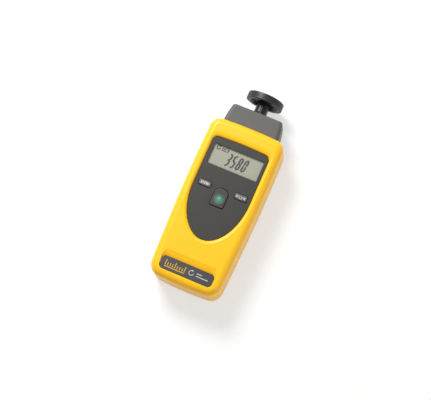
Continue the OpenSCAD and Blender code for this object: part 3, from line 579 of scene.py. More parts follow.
def turned(name, profile, y0, rounds=96):
    """Turn a profile of (radius, run along the shaft) about the shaft's axis, from y0."""
    points = [Vector((r, y0 + run, AXIS_Z)) for r, run in profile]
    piece = start(name, "plane", size=mm(1), location=points[0])
    with picked(piece, "VERT"):
        bpy.ops.mesh.merge(type="CENTER")
        for last, point in zip(points, points[1:] + points[:1]):
            extrude(point - last)
        bpy.ops.mesh.select_all(action="SELECT")
        bpy.ops.mesh.spin(steps=rounds, angle=math.tau, center=(0, y0, AXIS_Z), axis=(0, 1, 0))
    return outwards(piece)


# Materials

# Sockets of the Mix node when it mixes colours
MIX_A, MIX_B, MIX_COLOUR = 6, 7, 2
# Values between which a noise texture spends most of its range
NOISE_LOW, NOISE_HIGH = 0.3, 0.7
# Painted highlight on the sharp edges: its width, the cosine of the bend where it starts and where it is
# full, and its lift
HIGHLIGHT_EDGE_WIDTH = mm(0.6)
HIGHLIGHT_EDGE_START, HIGHLIGHT_EDGE_FULL = 0.99, 0.85
HIGHLIGHT_EDGE_LIFT = 1.25


def add(material, kind, values=None, **options):
    """Add a node with its options, and give its inputs their values or links."""
    node = material.node_tree.nodes.new("ShaderNode" + kind)
    for name, value in options.items():
        setattr(node, name, value)
    for name, value in (values or {}).items():
        if isinstance(value, bpy.types.NodeSocket):
            material.node_tree.links.new(value, node.inputs[name])
        else:
            node.inputs[name].default_value = value
    return node


def blank(name, kind="materials"):
    """New material or world without nodes."""
    made = getattr(bpy.data, kind).new(name)
    made.use_nodes = True
    made.node_tree.nodes.clear()
    return made


def shade(rgba, factor):
    return [min(1.0, c * factor) for c in rgba[:3]] + [1.0]


def surface(name, rgba, roughness, grain, depth, metallic=0.0, cloud=mm(18), tone=0.04, rough_tone=0.08,
            stretch=(1, 1, 1), edge_highlight=0.0, specular=0.5, ior=1.5):
    """Solid material: a base colour with faint clouds, and a fine grain in height and roughness.

    grain is the size of the grain and depth its height; cloud is the size of the colour's clouds and
    tone their strength. stretch draws the grain out along an axis, and the sharp edges are lightened by a
    painted highlight of the given strength.
    """
    material = blank(name)
    place = add(material, "TexCoord").outputs["Object"]
    clouds = add(material, "TexNoise", {"Vector": place, "Scale": 1 / cloud, "Detail": 3})
    tint = add(material, "Mix", {"Factor": clouds.outputs["Fac"], MIX_A: shade(rgba, 1 - tone),
                                 MIX_B: shade(rgba, 1 + tone)}, data_type="RGBA")
    drawn = add(material, "Mapping", {"Vector": place, "Scale": stretch}).outputs["Vector"]
    fine = add(material, "TexNoise", {"Vector": drawn, "Scale": 1 / grain, "Detail": 2})
    rough = add(material, "MapRange", {
        "Value": fine.outputs["Fac"], "From Min": NOISE_LOW, "From Max": NOISE_HIGH,
        "To Min": max(0.0, roughness - rough_tone), "To Max": min(1.0, roughness + rough_tone)})
    bump = add(material, "Bump", {"Height": fine.outputs["Fac"], "Strength": 1.0, "Distance": depth})
    base = tint.outputs[MIX_COLOUR]
    # Painted highlight: where the Bevel node's normal bends away from the true one, the colour is mixed
    # towards a lighter copy
    if edge_highlight:
        normal = add(material, "NewGeometry").outputs["Normal"]
        soft = add(material, "Bevel", {"Radius": HIGHLIGHT_EDGE_WIDTH}, samples=4).outputs["Normal"]
        bend = add(material, "VectorMath", {0: normal, 1: soft}, operation="DOT_PRODUCT")
        edge = add(material, "MapRange", {"Value": bend.outputs["Value"], "From Min": HIGHLIGHT_EDGE_START,
                                          "From Max": HIGHLIGHT_EDGE_FULL, "To Min": 0.0, "To Max": edge_highlight})
        edge_lit = add(material, "Mix", {"Factor": edge.outputs["Result"], MIX_A: base,
                                     MIX_B: shade(rgba, HIGHLIGHT_EDGE_LIFT)}, data_type="RGBA")
        base = edge_lit.outputs[MIX_COLOUR]
    shader = add(material, "BsdfPrincipled", {
        "Base Color": base, "Roughness": rough.outputs["Result"], "Normal": bump.outputs["Normal"],
        "Metallic": metallic, "Specular IOR Level": specular, "IOR": ior})
    add(material, "OutputMaterial", {"Surface": shader.outputs["BSDF"]})
    return material


def abs_case():
    """ABS, moulded with a fine spark-eroded grain: an even satin colour with soft highlights."""
    # The real grain is about 0.1 mm; it is drawn at 0.5 mm so that it shows
    # The sharp edges get a painted highlight
    return surface("abs_case_yellow", settings().colours.case, roughness=0.36, grain=mm(0.5),
                   depth=mm(0.006), tone=0.03, edge_highlight=0.25, specular=0.35)


def polycarbonate_fascia():
    """Polycarbonate, moulded matt: a dark grey that keeps a low sheen."""
    # The sharp edges get a painted highlight
    return surface("polycarbonate_fascia", settings().colours.fascia, roughness=0.42, grain=mm(0.45),
                   depth=mm(0.006), cloud=mm(12), tone=0.05, edge_highlight=0.15, specular=0.25)


def silicone_key():
    """Hard-coated silicone rubber of the keys: matt, slightly lighter than the fascia."""
    # The sharp edges get a painted highlight
    return surface("silicone_key", settings().colours.keys, roughness=0.5, grain=mm(0.4),
                   depth=mm(0.005), cloud=mm(4), tone=0.06, edge_highlight=0.2)


def polycarbonate_painted_glow(name, least, most, roughness):
    """Polycarbonate with a green glow painted into its base colour, strongest in the middle and fading
    outwards.

    least and most are the painted glow's strength at its rim and in its middle.
    """
    material = blank(name)
    keys, colours = settings().keys, settings().colours
    place = add(material, "TexCoord").outputs["Object"]
    centre = Vector((0, at(keys.arch_low_at + keys.painted_glow_up), KEY_HIGH.z))
    spot = add(material, "Mapping", {"Vector": place, "Location": -centre / keys.painted_glow_reach,
                                     "Scale": [1 / keys.painted_glow_reach] * 3})
    # Painted glow: a spherical gradient about the marker mixes the fascia's grey towards the marker's
    # green
    glow = add(material, "TexGradient", {"Vector": spot.outputs["Vector"]}, gradient_type="SPHERICAL")
    fade = add(material, "MapRange", {"Value": glow.outputs["Fac"], "From Min": 0.0, "From Max": 0.8,
                                      "To Min": least, "To Max": most},
               interpolation_type="SMOOTHSTEP")
    tint = add(material, "Mix", {"Factor": fade.outputs["Result"], MIX_A: list(colours.fascia),
                                 MIX_B: list(colours.marker)}, data_type="RGBA")
    grain = add(material, "TexNoise", {"Vector": place, "Scale": 1 / mm(0.8), "Detail": 2})
    bump = add(material, "Bump", {"Height": grain.outputs["Fac"], "Strength": 1.0,
                                  "Distance": mm(0.004)})
    shader = add(material, "BsdfPrincipled", {
        "Base Color": tint.outputs[MIX_COLOUR], "Roughness": roughness, "IOR": 1.58,
        "Specular IOR Level": 0.25, "Normal": bump.outputs["Normal"]})
    add(material, "OutputMaterial", {"Surface": shader.outputs["BSDF"]})
    return material


def acrylic_window():
    """Cast acrylic: clear and smooth, with a thin reflection and a trace of haze."""
    material = blank("acrylic_window")
    place = add(material, "TexCoord").outputs["Object"]
    haze = add(material, "TexNoise", {"Vector": place, "Scale": 1 / mm(6), "Detail": 3})
    rough = add(material, "MapRange", {"Value": haze.outputs["Fac"], "To Min": 0.02, "To Max": 0.07})
    shader = add(material, "BsdfPrincipled", {"Base Color": linear("DCE4DE"), "Alpha": 0.06,
                                              "Roughness": rough.outputs["Result"], "IOR": 1.49})
    add(material, "OutputMaterial", {"Surface": shader.outputs["BSDF"]})
    return material


def polariser_film():
    """Reflective polariser behind liquid crystal: grey-green, with the faint sparkle of its foil."""
    return surface("polariser_film", settings().colours.display, roughness=0.4, grain=mm(0.5),
                   depth=mm(0.002), cloud=mm(9), tone=0.03, rough_tone=0.05, specular=0.15)


def ink(name, hex_code):
    """Screen-printed ink: matt, with a slightly uneven coat."""
    return surface(name, linear(hex_code), roughness=0.6, grain=mm(0.3), depth=mm(0.003), cloud=mm(2),
                   tone=0.05, specular=0.2)


def crystal_segment():
    """Switched liquid crystal: nearly black and satin."""
    return surface("crystal_segment", settings().colours.segments, roughness=0.4, grain=mm(0.5),
                   depth=mm(0.001), cloud=mm(3), tone=0.06, specular=0.15)


def label_film():
    """Polyester label film: smooth dark grey with a low gloss."""
    return surface("polyester_label_film", settings().colours.label, roughness=0.34, grain=mm(0.6),
                   depth=mm(0.002), cloud=mm(10), tone=0.04, specular=0.3)


def abs_adapter():
    """ABS, moulded in grey with a grain like the case's, and a little duller."""
    # The sharp edges get a painted highlight
    return surface("abs_adapter_grey", settings().colours.adapter, roughness=0.46, grain=mm(0.5),
                   depth=mm(0.006), tone=0.04, edge_highlight=0.15, specular=0.2)


def nylon_wheel():
    """Glass-filled nylon: black with a satin shine from the mould."""
    # The sharp edges get a painted highlight
    return surface("nylon_wheel", settings().colours.wheel, roughness=0.32, grain=mm(0.6),
                   depth=mm(0.004), cloud=mm(5), tone=0.1, edge_highlight=0.3)


def rubber_tyre():
    """Vulcanised nitrile rubber: black, matt, with a dry bloom."""
    return surface("rubber_tyre", settings().colours.tyre, roughness=0.45, grain=mm(0.4),
                   depth=mm(0.008), cloud=mm(4), tone=0.14, specular=0.6)


def ground_steel():
    """Stainless steel, turned and ground: bright, with fine rings round the shaft."""
    return surface("ground_steel", linear("D4D6D8"), roughness=0.32, grain=mm(0.35), depth=mm(0.001),
                   metallic=1.0, cloud=mm(6), tone=0.03, rough_tone=0.06, stretch=(0.05, 1, 0.05))


def zinc_steel():
    """Zinc-plated steel of the screws: a duller, slightly warm grey."""
    return surface("zinc_plated_steel", linear("B3B5B6"), roughness=0.32, grain=mm(0.5),
                   depth=mm(0.003), metallic=1.0, cloud=mm(2), tone=0.06)


def cell_jacket():
    """Shrunk plastic jacket of the cells: copper-coloured at one end and black at the other."""
    copper_share = 0.3
    material = blank("cell_jacket")
    place = add(material, "TexCoord").outputs["Object"]
    along = add(material, "SeparateXYZ", {"Vector": place}).outputs["Y"]
    run = add(material, "Math", {0: along, 1: CELLS_LOW.y}, operation="SUBTRACT")
    cells = add(material, "Math", {0: run.outputs[0], 1: (CELLS_HIGH.y - CELLS_LOW.y) / 2},
                operation="DIVIDE")
    share = add(material, "Math", {0: cells.outputs[0]}, operation="FRACT")
    band = add(material, "Math", {0: share.outputs[0], 1: copper_share}, operation="LESS_THAN")
    tint = add(material, "Mix", {"Factor": band.outputs[0], MIX_A: linear("1B1B1D"),
                                 MIX_B: linear("B87333")}, data_type="RGBA")
    film = add(material, "TexNoise", {"Vector": place, "Scale": 1 / mm(5)})
    bump = add(material, "Bump", {"Height": film.outputs["Fac"], "Strength": 1.0, "Distance": mm(0.02)})
    shader = add(material, "BsdfPrincipled", {
        "Base Color": tint.outputs[MIX_COLOUR], "Roughness": 0.3, "Metallic": 0.3,
        "Normal": bump.outputs["Normal"]})
    add(material, "OutputMaterial", {"Surface": shader.outputs["BSDF"]})
    return material


# Case

# How the case draws in from its widest place: exponents towards the top and the bottom end
TOP_CURVE, END_CURVE = 2, 1.6
# Steps of its rounded corners and edges, and the stretches that it is cut into along Y and X
CASE_CORNER_STEPS, CASE_EDGE_STEPS = 12, 8
CASE_LENGTHS, CASE_WIDTHS = 16, 10
# Steps of the curved wall round the fascia
RECESS_STEPS = 8
# The slope round the label is steep at its foot: its rise goes as this power of its run, and it is
# drawn in quarters, the last two past the front face
SLOPE_CURVE = 0.75
SLOPE_QUARTERS = 6
# Floor of the adapter's well, and the thickness of its walls
WELL_FLOOR = ADAPTER_LOW.y - SLIDE_GAP
WELL_WALL = mm(2)
# Number of finger grooves in the battery door, and the radius of their ends as a share of their width
DOOR_GROOVES = 5
GROOVE_ROUND = 0.45


def width_at(place):
    """Width of the case at a place: widest at widest_at, and drawn in towards both ends."""
    case = settings().case
    if place > case.widest_at:
        share = (place - case.widest_at) / (case.length - case.widest_at)
        return case.width - (case.width - case.top_width) * share ** TOP_CURVE
    share = min(1.0, (case.widest_at - place) / case.widest_at)
    return case.width - (case.width - case.end_width) * share ** END_CURVE


def case_skin(name, inset, low, high, edge, up, seam=0.0):
    """Solid body of one half of the case, drawn in by inset, its outer edge rounded.

    up is 1 where the rounded edge is the upper one, and -1 where it is the lower one.
    """
    case = settings().case
    half = case.width / 2 - inset
    y0 = at(case.end_crown + inset)
    y1 = at(case.length - case.top_crown - inset)
    skin = box(name, (-half, y0, low), (half, y1, high))
    round_upright(skin, case.end_corner - inset, CASE_CORNER_STEPS, lambda p: near(p.y, y0))
    round_upright(skin, case.top_corner - inset, CASE_CORNER_STEPS, lambda p: near(p.y, y1))
    slices(skin, (0, 1, 0), steps(y0 + case.end_corner, y1 - case.top_corner, CASE_LENGTHS))
    slices(skin, (1, 0, 0), steps(case.end_corner - half, half - case.end_corner, CASE_WIDTHS))
    drawn_in(skin, lambda y: width_at(y - END_Y) / case.width)
    swell(skin, y0, -case.end_crown, half)
    swell(skin, y1, case.top_crown, half)
    round_rim(skin, edge, CASE_EDGE_STEPS, (0, 0, up))
    if seam:
        round_rim(skin, seam, 1, (0, 0, -up))
    return skin


def front_skin(name):
    case = settings().case
    return case_skin(name, 0.0, case.split, case.thickness, case.front_edge, 1, case.seam)


def rear_skin(name):
    case = settings().case
    return case_skin(name, 0.0, 0.0, case.split, case.back_edge, -1, case.seam)


def shield(name, side, top, low, high):
    """Plate with the fascia's outline, grown by side at its sides and tip, and by top at its top."""
    fascia = settings().fascia
    return half_round(name, fascia.width / 2 + side, at(fascia.widest_at),
                      -(fascia.widest_at - fascia.tip_at + side),
                      fascia.top_at - fascia.crown + top - fascia.widest_at,
                      fascia.corner + min(side, top), fascia.crown, low, high)


def arch(name, grow, low, high):
    """Plate with the measuring key's outline: a straight foot and an arched top."""
    keys = settings().keys
    spring = keys.arch_high_at - keys.arch_rise
    return half_round(name, keys.arch_width / 2 + grow, at(spring), keys.arch_rise + grow,
                      keys.arch_low_at - grow - spring, keys.corner + grow, 0.0, low, high)


def fascia_recess():
    """Cutter for the fascia's sunk place: a flat seat, and a wall that curves out to the front face."""
    case, fascia = settings().case, settings().fascia
    sink = case.thickness - FASCIA_HIGH.z
    extra = fascia.top_slope - fascia.side_slope
    tool = shield("recess", fascia.gap + fascia.side_slope, fascia.gap + fascia.top_slope,
                  case.thickness, case.thickness + OVER)
    angles = [math.pi / 2 * (1 - i / RECESS_STEPS) for i in range(RECESS_STEPS + 1)]
    z = case.thickness
    top = at(fascia.top_at - fascia.corner - fascia.top_slope)
    for a, b in zip(angles, angles[1:]):
        with picked(tool, "FACE", lambda c, n: near(c.z, z) and n.z < -FACING):
            bpy.ops.mesh.inset(thickness=fascia.side_slope * (math.cos(b) - math.cos(a)),
                               depth=sink * (math.sin(a) - math.sin(b)))
        z -= sink * (math.sin(a) - math.sin(b))
        with picked(tool, "VERT", lambda p: near(p.z, z) and p.y > top):
            bpy.ops.transform.translate(value=(0, -extra * (math.cos(b) - math.cos(a)), 0))
    with picked(tool, "FACE", lambda c, n: near(c.z, z) and n.z < -FACING):
        extrude((0, 0, FASCIA_LOW.z - z))
    return tool


def label_place(piece):
    """Tilt and move a piece from the middle of the plate's face to its place on the case."""
    label, case = settings().label, settings().case
    tilt = math.asin((label.deep - label.shallow) / label.length)
    piece.rotation_euler = (-tilt, 0, 0)
    piece.location = (0, at(label.at), case.thickness - (label.deep + label.shallow) / 2)
    return applied(piece)


def label_recess():
    """Cutter for the label's sunk place, with a wider slope above it."""
    label = settings().label
    half_w, half_l = label.width / 2 + SEAT_GAP, label.length / 2 + SEAT_GAP
    tool = plate("label_recess", (-half_w, -half_l, -label.thickness), (half_w, half_l, 0),
                 label.corner + SEAT_GAP)
    width, height, middle, z = 2 * half_w, 2 * half_l, 0.0, 0.0
    for quarter in range(1, SLOPE_QUARTERS + 1):
        share = quarter / 4
        with picked(tool, "FACE", lambda c, n: near(c.z, z) and n.z > FACING):
            new_z = label.deep * share ** SLOPE_CURVE
            new_width = 2 * (half_w + share * label.side_run)
            new_height = 2 * half_l + share * (label.side_run + label.top_run)
            new_middle = share * (label.top_run - label.side_run) / 2
            extrude((0, new_middle - middle, new_z - z))
            bpy.ops.transform.resize(value=(new_width / width, new_height / height, 1),
                                     center_override=(0, new_middle, new_z))
        width, height, middle, z = new_width, new_height, new_middle, new_z
    return label_place(tool)


def side_key_plate(name, side, grow, radius, low, high):
    """Plate over a side key's place, grown by grow all round."""
    keys = settings().keys
    x, y = side * keys.x, at(keys.at)
    half_w, half_l = keys.width / 2 + grow, keys.length / 2 + grow
    return plate(name, (x - half_w, y - half_l, low), (x + half_w, y + half_l, high), radius)


def key_openings(low, high):
    """Cutters for the openings round the three keys."""
    keys = settings().keys
    return [arch("arch_opening", keys.gap, low, high)] + [
        side_key_plate("key_opening", side, keys.gap, keys.corner + keys.gap, low, high)
        for side in (-1, 1)]


def screw_places():
    """X and Y of the four case screws, beside the walls where their bosses fit."""
    case, screws = settings().case, settings().screws
    low_x = case.end_width / 2 - case.wall - screws.rear_boss / 2
    high_x = case.top_width / 2 - case.wall - screws.front_boss / 2
    return [(side * x, at(place)) for side in (-1, 1)
            for x, place in ((low_x, screws.low_at), (high_x, screws.high_at))]


def screw_pegs(name, diameter, low, high):
    """Upright bars at the four case screws."""
    return [peg(name, diameter / 2, (x, y, low), (x, y, high)) for x, y in screw_places()]


def well_bar(name, grow, y0):
    """Bar round the adapter, grown all round, which runs out past the case's top end."""
    adapter = settings().adapter
    return bar(name, adapter.width + 2 * grow, adapter.thickness + 2 * grow, adapter.corner + grow, y0,
               at(settings().case.length) + OVER)


def well_tools():
    """Cutters for the well that the adapter slides into, and for the sensor's window."""
    lens_r = (LENS_HIGH.x - LENS_LOW.x) / 2 + SEAT_GAP
    return [well_bar("well", SLIDE_GAP, WELL_FLOOR),
            axle("lens_bore", lens_r, WELL_FLOOR - WELL_WALL - OVER, WELL_FLOOR + OVER)]


def well_block():
    return well_bar("well_block", SLIDE_GAP + WELL_WALL, WELL_FLOOR - WELL_WALL)


def front_shell():
    """Front half of the case: a hollow skin with the blocks behind its sunk places and its bosses."""
    case, fascia, label = settings().case, settings().fascia, settings().label
    screws = settings().screws
    shell = front_skin("front_case_shell")
    cut(shell, case_skin("front_hollow", case.wall, case.split - OVER, case.thickness - case.wall,
                         case.front_edge - case.wall, 1))
    under_skin = case.thickness - case.wall / 2
    panel_z = FASCIA_LOW.z - fascia.panel
    blocks = shield("panel", fascia.side_slope + case.wall, fascia.top_slope + case.wall, panel_z,
                    under_skin)
    half_w, half_l = label.width / 2 + case.wall, label.length / 2 + case.wall
    pad = box("label_pad", (-half_w, -half_l, -label.thickness - case.wall),
              (half_w, half_l + label.top_run, label.deep - case.wall / 2))
    bosses = screw_pegs("boss", screws.front_boss, case.split, case.thickness)
    unite(blocks, label_place(pad), well_block(), *bosses)
    overlap(blocks, case_skin("inside", case.wall / 2, case.split + JOINT, under_skin,
                              case.front_edge - case.wall / 2, 1))
    unite(shell, blocks)
    glass_opening = box("glass_opening",
                        (GLASS_LOW.x - SLIDE_GAP, GLASS_LOW.y - SLIDE_GAP, panel_z - OVER),
                        (GLASS_HIGH.x + SLIDE_GAP, GLASS_HIGH.y + SLIDE_GAP, FASCIA_LOW.z + OVER))
    cut(shell, fascia_recess(), label_recess(), *well_tools(),
        *key_openings(GLASS_LOW.z, case.thickness + OVER), glass_opening,
        *screw_pegs("screw_hole", screws.diameter, case.split - OVER,
                    screws.sink + screws.length + OVER))
    return polished(shell)


def door_outline(name, grow, low, high):
    """Plate with the battery door's outline, which runs out past the case's bottom end."""
    door = settings().door
    half, end = door.width / 2 + grow, DOOR_HIGH.y - door.tongue + grow
    tool = box(name, (-half, END_Y - OVER, low), (half, end, high))
    round_upright(tool, door.corner + grow, 6, lambda p: near(p.y, end))
    return tool


def battery_bay(grow, low):
    """Box round the four cells, as large as the bay or grown by a wall, which starts at low."""
    gap = SLIDE_GAP + grow
    return box("battery_bay", (CELLS_LOW.x - gap, CONTACTS_LOW.y - grow, low),
               (CELLS_HIGH.x + gap, CONTACTS_HIGH.y + grow, CELLS_HIGH.z + gap))


def rear_shell():
    """Rear half of the case: a hollow skin with the battery bay, the door's way and its bosses."""
    case, door, screws = settings().case, settings().door, settings().screws
    shell = rear_skin("rear_case_shell")
    cut(shell, case_skin("rear_hollow", case.wall, case.wall, case.split + OVER,
                         case.back_edge - case.wall, -1))
    ledge = door.width / 2 + door.tongue + 2 * SLIDE_GAP + door.bay_wall
    blocks = box("ledge", (-ledge, END_Y, 0),
                 (ledge, DOOR_HIGH.y + door.bay_wall + SLIDE_GAP, DOOR_HIGH.z + door.bay_wall))
    unite(blocks, battery_bay(door.bay_wall, 0), well_block(),
          *screw_pegs("boss", screws.rear_boss, 0, case.split))
    overlap(blocks, case_skin("inside", case.wall / 2, case.wall / 2, case.split - JOINT,
                              case.back_edge - case.wall / 2, -1))
    unite(shell, blocks)
    tongue = DOOR_LOW.z + door.tongue_up
    cut(shell, battery_bay(0.0, -OVER), door_outline("door_way", SLIDE_GAP, -OVER, DOOR_HIGH.z + SEAT_GAP),
        door_outline("tongue_way", SLIDE_GAP + door.tongue, tongue - SEAT_GAP,
                     tongue + door.tongue_height + SEAT_GAP),
        *well_tools(),
        *screw_pegs("screw_pocket", screws.head + 2 * screws.gap, -OVER, screws.sink),
        *screw_pegs("screw_hole", screws.diameter + 2 * screws.gap, -OVER, case.split + OVER))
    return polished(shell)


def door_piece():
    """Battery door: a sliding plate with tongues, finger grooves and an arrow that shows the way."""
    door = settings().door
    tongue = DOOR_LOW.z + door.tongue_up
    piece = door_outline("battery_door_plate", 0.0, DOOR_LOW.z, DOOR_HIGH.z)
    unite(piece, door_outline("tongue", door.tongue, tongue, tongue + door.tongue_height))
    overlap(piece, rear_skin("inside"))
    half, corner = door.groove_length / 2, door.groove * GROOVE_ROUND
    cutters = [plate("groove", (-half, y, DOOR_LOW.z - OVER),
                     (half, y + door.groove, DOOR_LOW.z + door.groove_depth), corner, 4)
               for y in (at(door.grooves_at) + i * door.groove_pitch for i in range(DOOR_GROOVES))]
    cutters.append(arrow_head("arrow", door.arrow, (0, at(door.arrow_at), DOOR_LOW.z),
                              2 * door.groove_depth, math.pi))
    cut(piece, *cutters)
    return polished(softened(piece, door.edge))


def case_screws():
    """Cross-head screws whose heads lie in the pockets of the back."""
    screws = settings().screws
    head_z = screws.sink - screws.head_height
    # The shank starts inside the head, so that the two share no face
    root = mm(0.2)
    made = []
    for x, y in screw_places():
        head = peg("screw", screws.head / 2, (x, y, head_z), (x, y, screws.sink))
        round_rim(head, screws.head_edge, 3, (0, 0, -1))
        unite(head, peg("shank", screws.diameter / 2, (x, y, screws.sink - root),
                        (x, y, screws.sink + screws.length), 24))
        cut(head, cross("cross", (x, y), screws.cross / 2, screws.cross_width / 2, head_z - OVER,
                        screws.sink - screws.cross_floor))
        made.append(polished(head))
    return joined("case_screw_set", made)


class TACHOMETER_OT_case(bpy.types.Operator):
    """Model the two halves of the case, the battery door and the case screws"""
    bl_idname = "tachometer.case"
    bl_label = "Case"

    def execute(self, context):
        plastic = abs_case()
        finished(front_shell(), plastic, "case", "case_plastic", "front_case")
        finished(rear_shell(), plastic, "case", "case_plastic", "rear_case")
        finished(door_piece(), plastic, "door", "case_plastic", "battery_door")
        finished(case_screws(), zinc_steel(), "case", "screw_steel", "case_screws")
        return {"FINISHED"}


class TACHOMETER_OT_fascia(bpy.types.Operator):
    """Model the fascia with its openings"""
    bl_idname = "tachometer.fascia"
    bl_label = "Fascia"

    def execute(self, context):
        display = settings().display
        low, high = FASCIA_LOW.z - OVER, FASCIA_HIGH.z + OVER
        piece = shield("fascia_plate", 0.0, 0.0, FASCIA_LOW.z, FASCIA_HIGH.z)
        round_rim(piece, settings().fascia.edge, 2)
        view = slab("view", (0, at(display.at)), (display.width / 2, display.length / 2), low, high)
        round_upright(view, display.corner, 3)
        rebate = box("rebate", WINDOW_LOW - Vector((SEAT_GAP, SEAT_GAP, OVER)),
                     WINDOW_HIGH + Vector((SEAT_GAP, SEAT_GAP, 0)))
        cut(piece, view, rebate, *key_openings(low, high))
        finished(polished(piece), polycarbonate_fascia(), "case", "fascia_plastic", "fascia")
        return {"FINISHED"}


# Display

# Segments of a seven-segment digit that are lit, in the order top, upper right, lower right,
# bottom, lower left, upper left, middle
LIT = {"3": "1111001", "5": "1011011", "8": "1111111", "0": "1111110"}
READING = "3580"
# How much shorter a segment is than the distance between its two corners of the digit
SEGMENT_GAP = mm(0.16)
# Radius of an arrow head as a share of its line's width
ARROW_SHARE = 1.7


def segment(name, run, z):
    """One bar of a digit along X: a long hexagon, pointed at both ends."""
    display = settings().display
    piece = start(name, "circle", vertices=6, radius=display.stroke / math.sqrt(3), fill_type="NGON",
                  location=(0, 0, z), rotation=(0, 0, math.pi / 6))
    reach = max(vertex.co.x for vertex in piece.data.vertices)
    for side in (-1, 1):
        with picked(piece, "VERT", lambda p: p.x * side > TOUCH):
            bpy.ops.transform.translate(value=(side * (run / 2 - reach), 0, 0))
    with picked(piece, "FACE"):
        extrude((0, 0, display.film))
    return outwards(piece)


def digits(z):
    """The reading, in slanted seven-segment digits."""
    display = settings().display
    half_w = (display.digit_width - display.stroke) / 2
    half_h = (display.digit - display.stroke) / 2
    level = segment("level", 2 * half_w - SEGMENT_GAP, z)
    upright = segment("upright", half_h - SEGMENT_GAP, z)
    upright.rotation_euler = (0, 0, math.pi / 2)
    applied(upright)
    places = [(level, 0, half_h), (upright, half_w, half_h / 2), (upright, half_w, -half_h / 2),
              (level, 0, -half_h), (upright, -half_w, -half_h / 2), (upright, -half_w, half_h / 2),
              (level, 0, 0)]
    bars = []
    for i, figure in enumerate(READING):
        middle = (i - (len(READING) - 1) / 2) * display.pitch
        bars += [copy(first, "segment", (middle + x, y, 0))
                 for lit, (first, x, y) in zip(LIT[figure], places) if lit == "1"]
    for first in (level, upright):
        bpy.data.objects.remove(first)
    group = joined("display_digits", bars)
    # The mesh is slanted by a matrix, because the shear operator needs a window
    lean = Matrix(((1, math.tan(display.slant), 0, 0), (0, 1, 0, 0), (0, 0, 1, 0), (0, 0, 0, 1)))
    place = Matrix.Translation((display.right, at(display.at) - display.down, 0))
    group.data.transform(place @ lean)
    return group


def turning_arrow(name, radius, stroke, middle, low, high):
    """Flat ring with a gap and an arrow head: a plain mark for rotation."""
    x, y = middle
    head = ARROW_SHARE * stroke
    ring = peg(name, radius, (x, y, low), (x, y, high), 40)
    cut(ring, peg("inside", radius - stroke, (x, y, low - OVER), (x, y, high + OVER), 40),
        box("gap", (x, y, low - OVER), (x + 2 * radius, y + 2 * radius, high + OVER)))
    return joined(name, [ring, arrow_head("head", head, (x + head / 2, y + radius - stroke / 2,
                                                         (low + high) / 2), high - low)])


def annunciators(z):
    """Two plain marks at the display's upper left: a turning arrow and a battery."""
    display = settings().display
    arrow_in, battery_in, down = mm(4.2), mm(10.2), mm(2.4)
    radius, arrow_line = mm(2), mm(0.9)
    half_w, half_h, line, charge_end = mm(2.8), mm(1.75), mm(0.6), mm(0.6)
    left, high = -display.width / 2, z + display.film
    x, y = left + battery_in, at(display.at + display.length / 2) - down
    arrow = turning_arrow("rotation_mark", radius, arrow_line, (left + arrow_in, y), z, high)
    battery = cut(slab("battery_mark", (x, y), (half_w, half_h), z, high),
                  slab("inside", (x, y), (half_w - line, half_h - line), z - OVER, high + OVER))
    pole = box("pole", (x + half_w, y - line, z), (x + half_w + line, y + line, high))
    charge = box("charge", (x - half_w + 2 * line, y - half_h + 2 * line, z),
                 (x + charge_end, y + half_h - 2 * line, high))
    return joined("display_marks", [arrow, battery, pole, charge])


class TACHOMETER_OT_display(bpy.types.Operator):
    """Model the display's glass, its digits and the window over it"""
    bl_idname = "tachometer.display"
    bl_label = "Display"

    def execute(self, context):
        glass_edge, window_corner, window_edge = mm(0.12), mm(0.6), mm(0.15)
        middle_z = (GLASS_LOW.z + GLASS_HIGH.z) / 2
        glass = box("display_glass", GLASS_LOW, (GLASS_HIGH.x, GLASS_HIGH.y, middle_z))
        unite(glass, box("upper_glass", (GLASS_LOW.x, GLASS_LOW.y + settings().display.ledge, middle_z),
                         GLASS_HIGH))
        finished(polished(softened(glass, glass_edge)), polariser_film(), "case", "display_glass",
                 "lcd_panel")
        crystal = crystal_segment()
        for piece in (digits(GLASS_HIGH.z), annunciators(GLASS_HIGH.z)):
            finished(polished(piece), crystal, "case", "display_glass")
        window = plate("display_window_pane", WINDOW_LOW, WINDOW_HIGH, window_corner, 4)
        round_rim(window, window_edge, 2)
        finished(polished(window), acrylic_window(), "case", "window_plastic", "display_window")
        return {"FINISHED"}


# Keys

# Thickness of printed marks
INK = mm(0.03)


def key_body(name, cap, flange):
    """A key: its cap with a rounded face, and the flange that stops it behind the panel."""
    round_rim(cap, settings().keys.round, 4)
    unite(cap, flange)
    cap.name = name
    return cap


def side_key(name, side):
    keys = settings().keys
    cap = side_key_plate("cap", side, 0.0, keys.corner, KEY_LOW.z, KEY_HIGH.z)
    flange = side_key_plate("flange", side, keys.gap + keys.flange_reach, keys.corner, KEY_LOW.z,
                            KEY_LOW.z + keys.flange)
    return polished(key_body(name, cap, flange))


def left_key_marks():
    """Plain marks on the left key: four bars and an arrow."""
    keys = settings().keys
    x, y, z = -keys.x, at(keys.at), KEY_HIGH.z
    first, pitch, wide, half_high = mm(3.7), mm(1.5), mm(1), mm(1.15)
    arrow_r, arrow_x = mm(1.5), mm(2.7)
    marks = [box("bar", (place, y - half_high, z), (place + wide, y + half_high, z + INK))
             for place in (x - first + i * pitch for i in range(4))]
    marks.append(arrow_head("arrow", arrow_r, (x + arrow_x, y, z + INK / 2), INK))
    return joined("left_key_marks", marks)


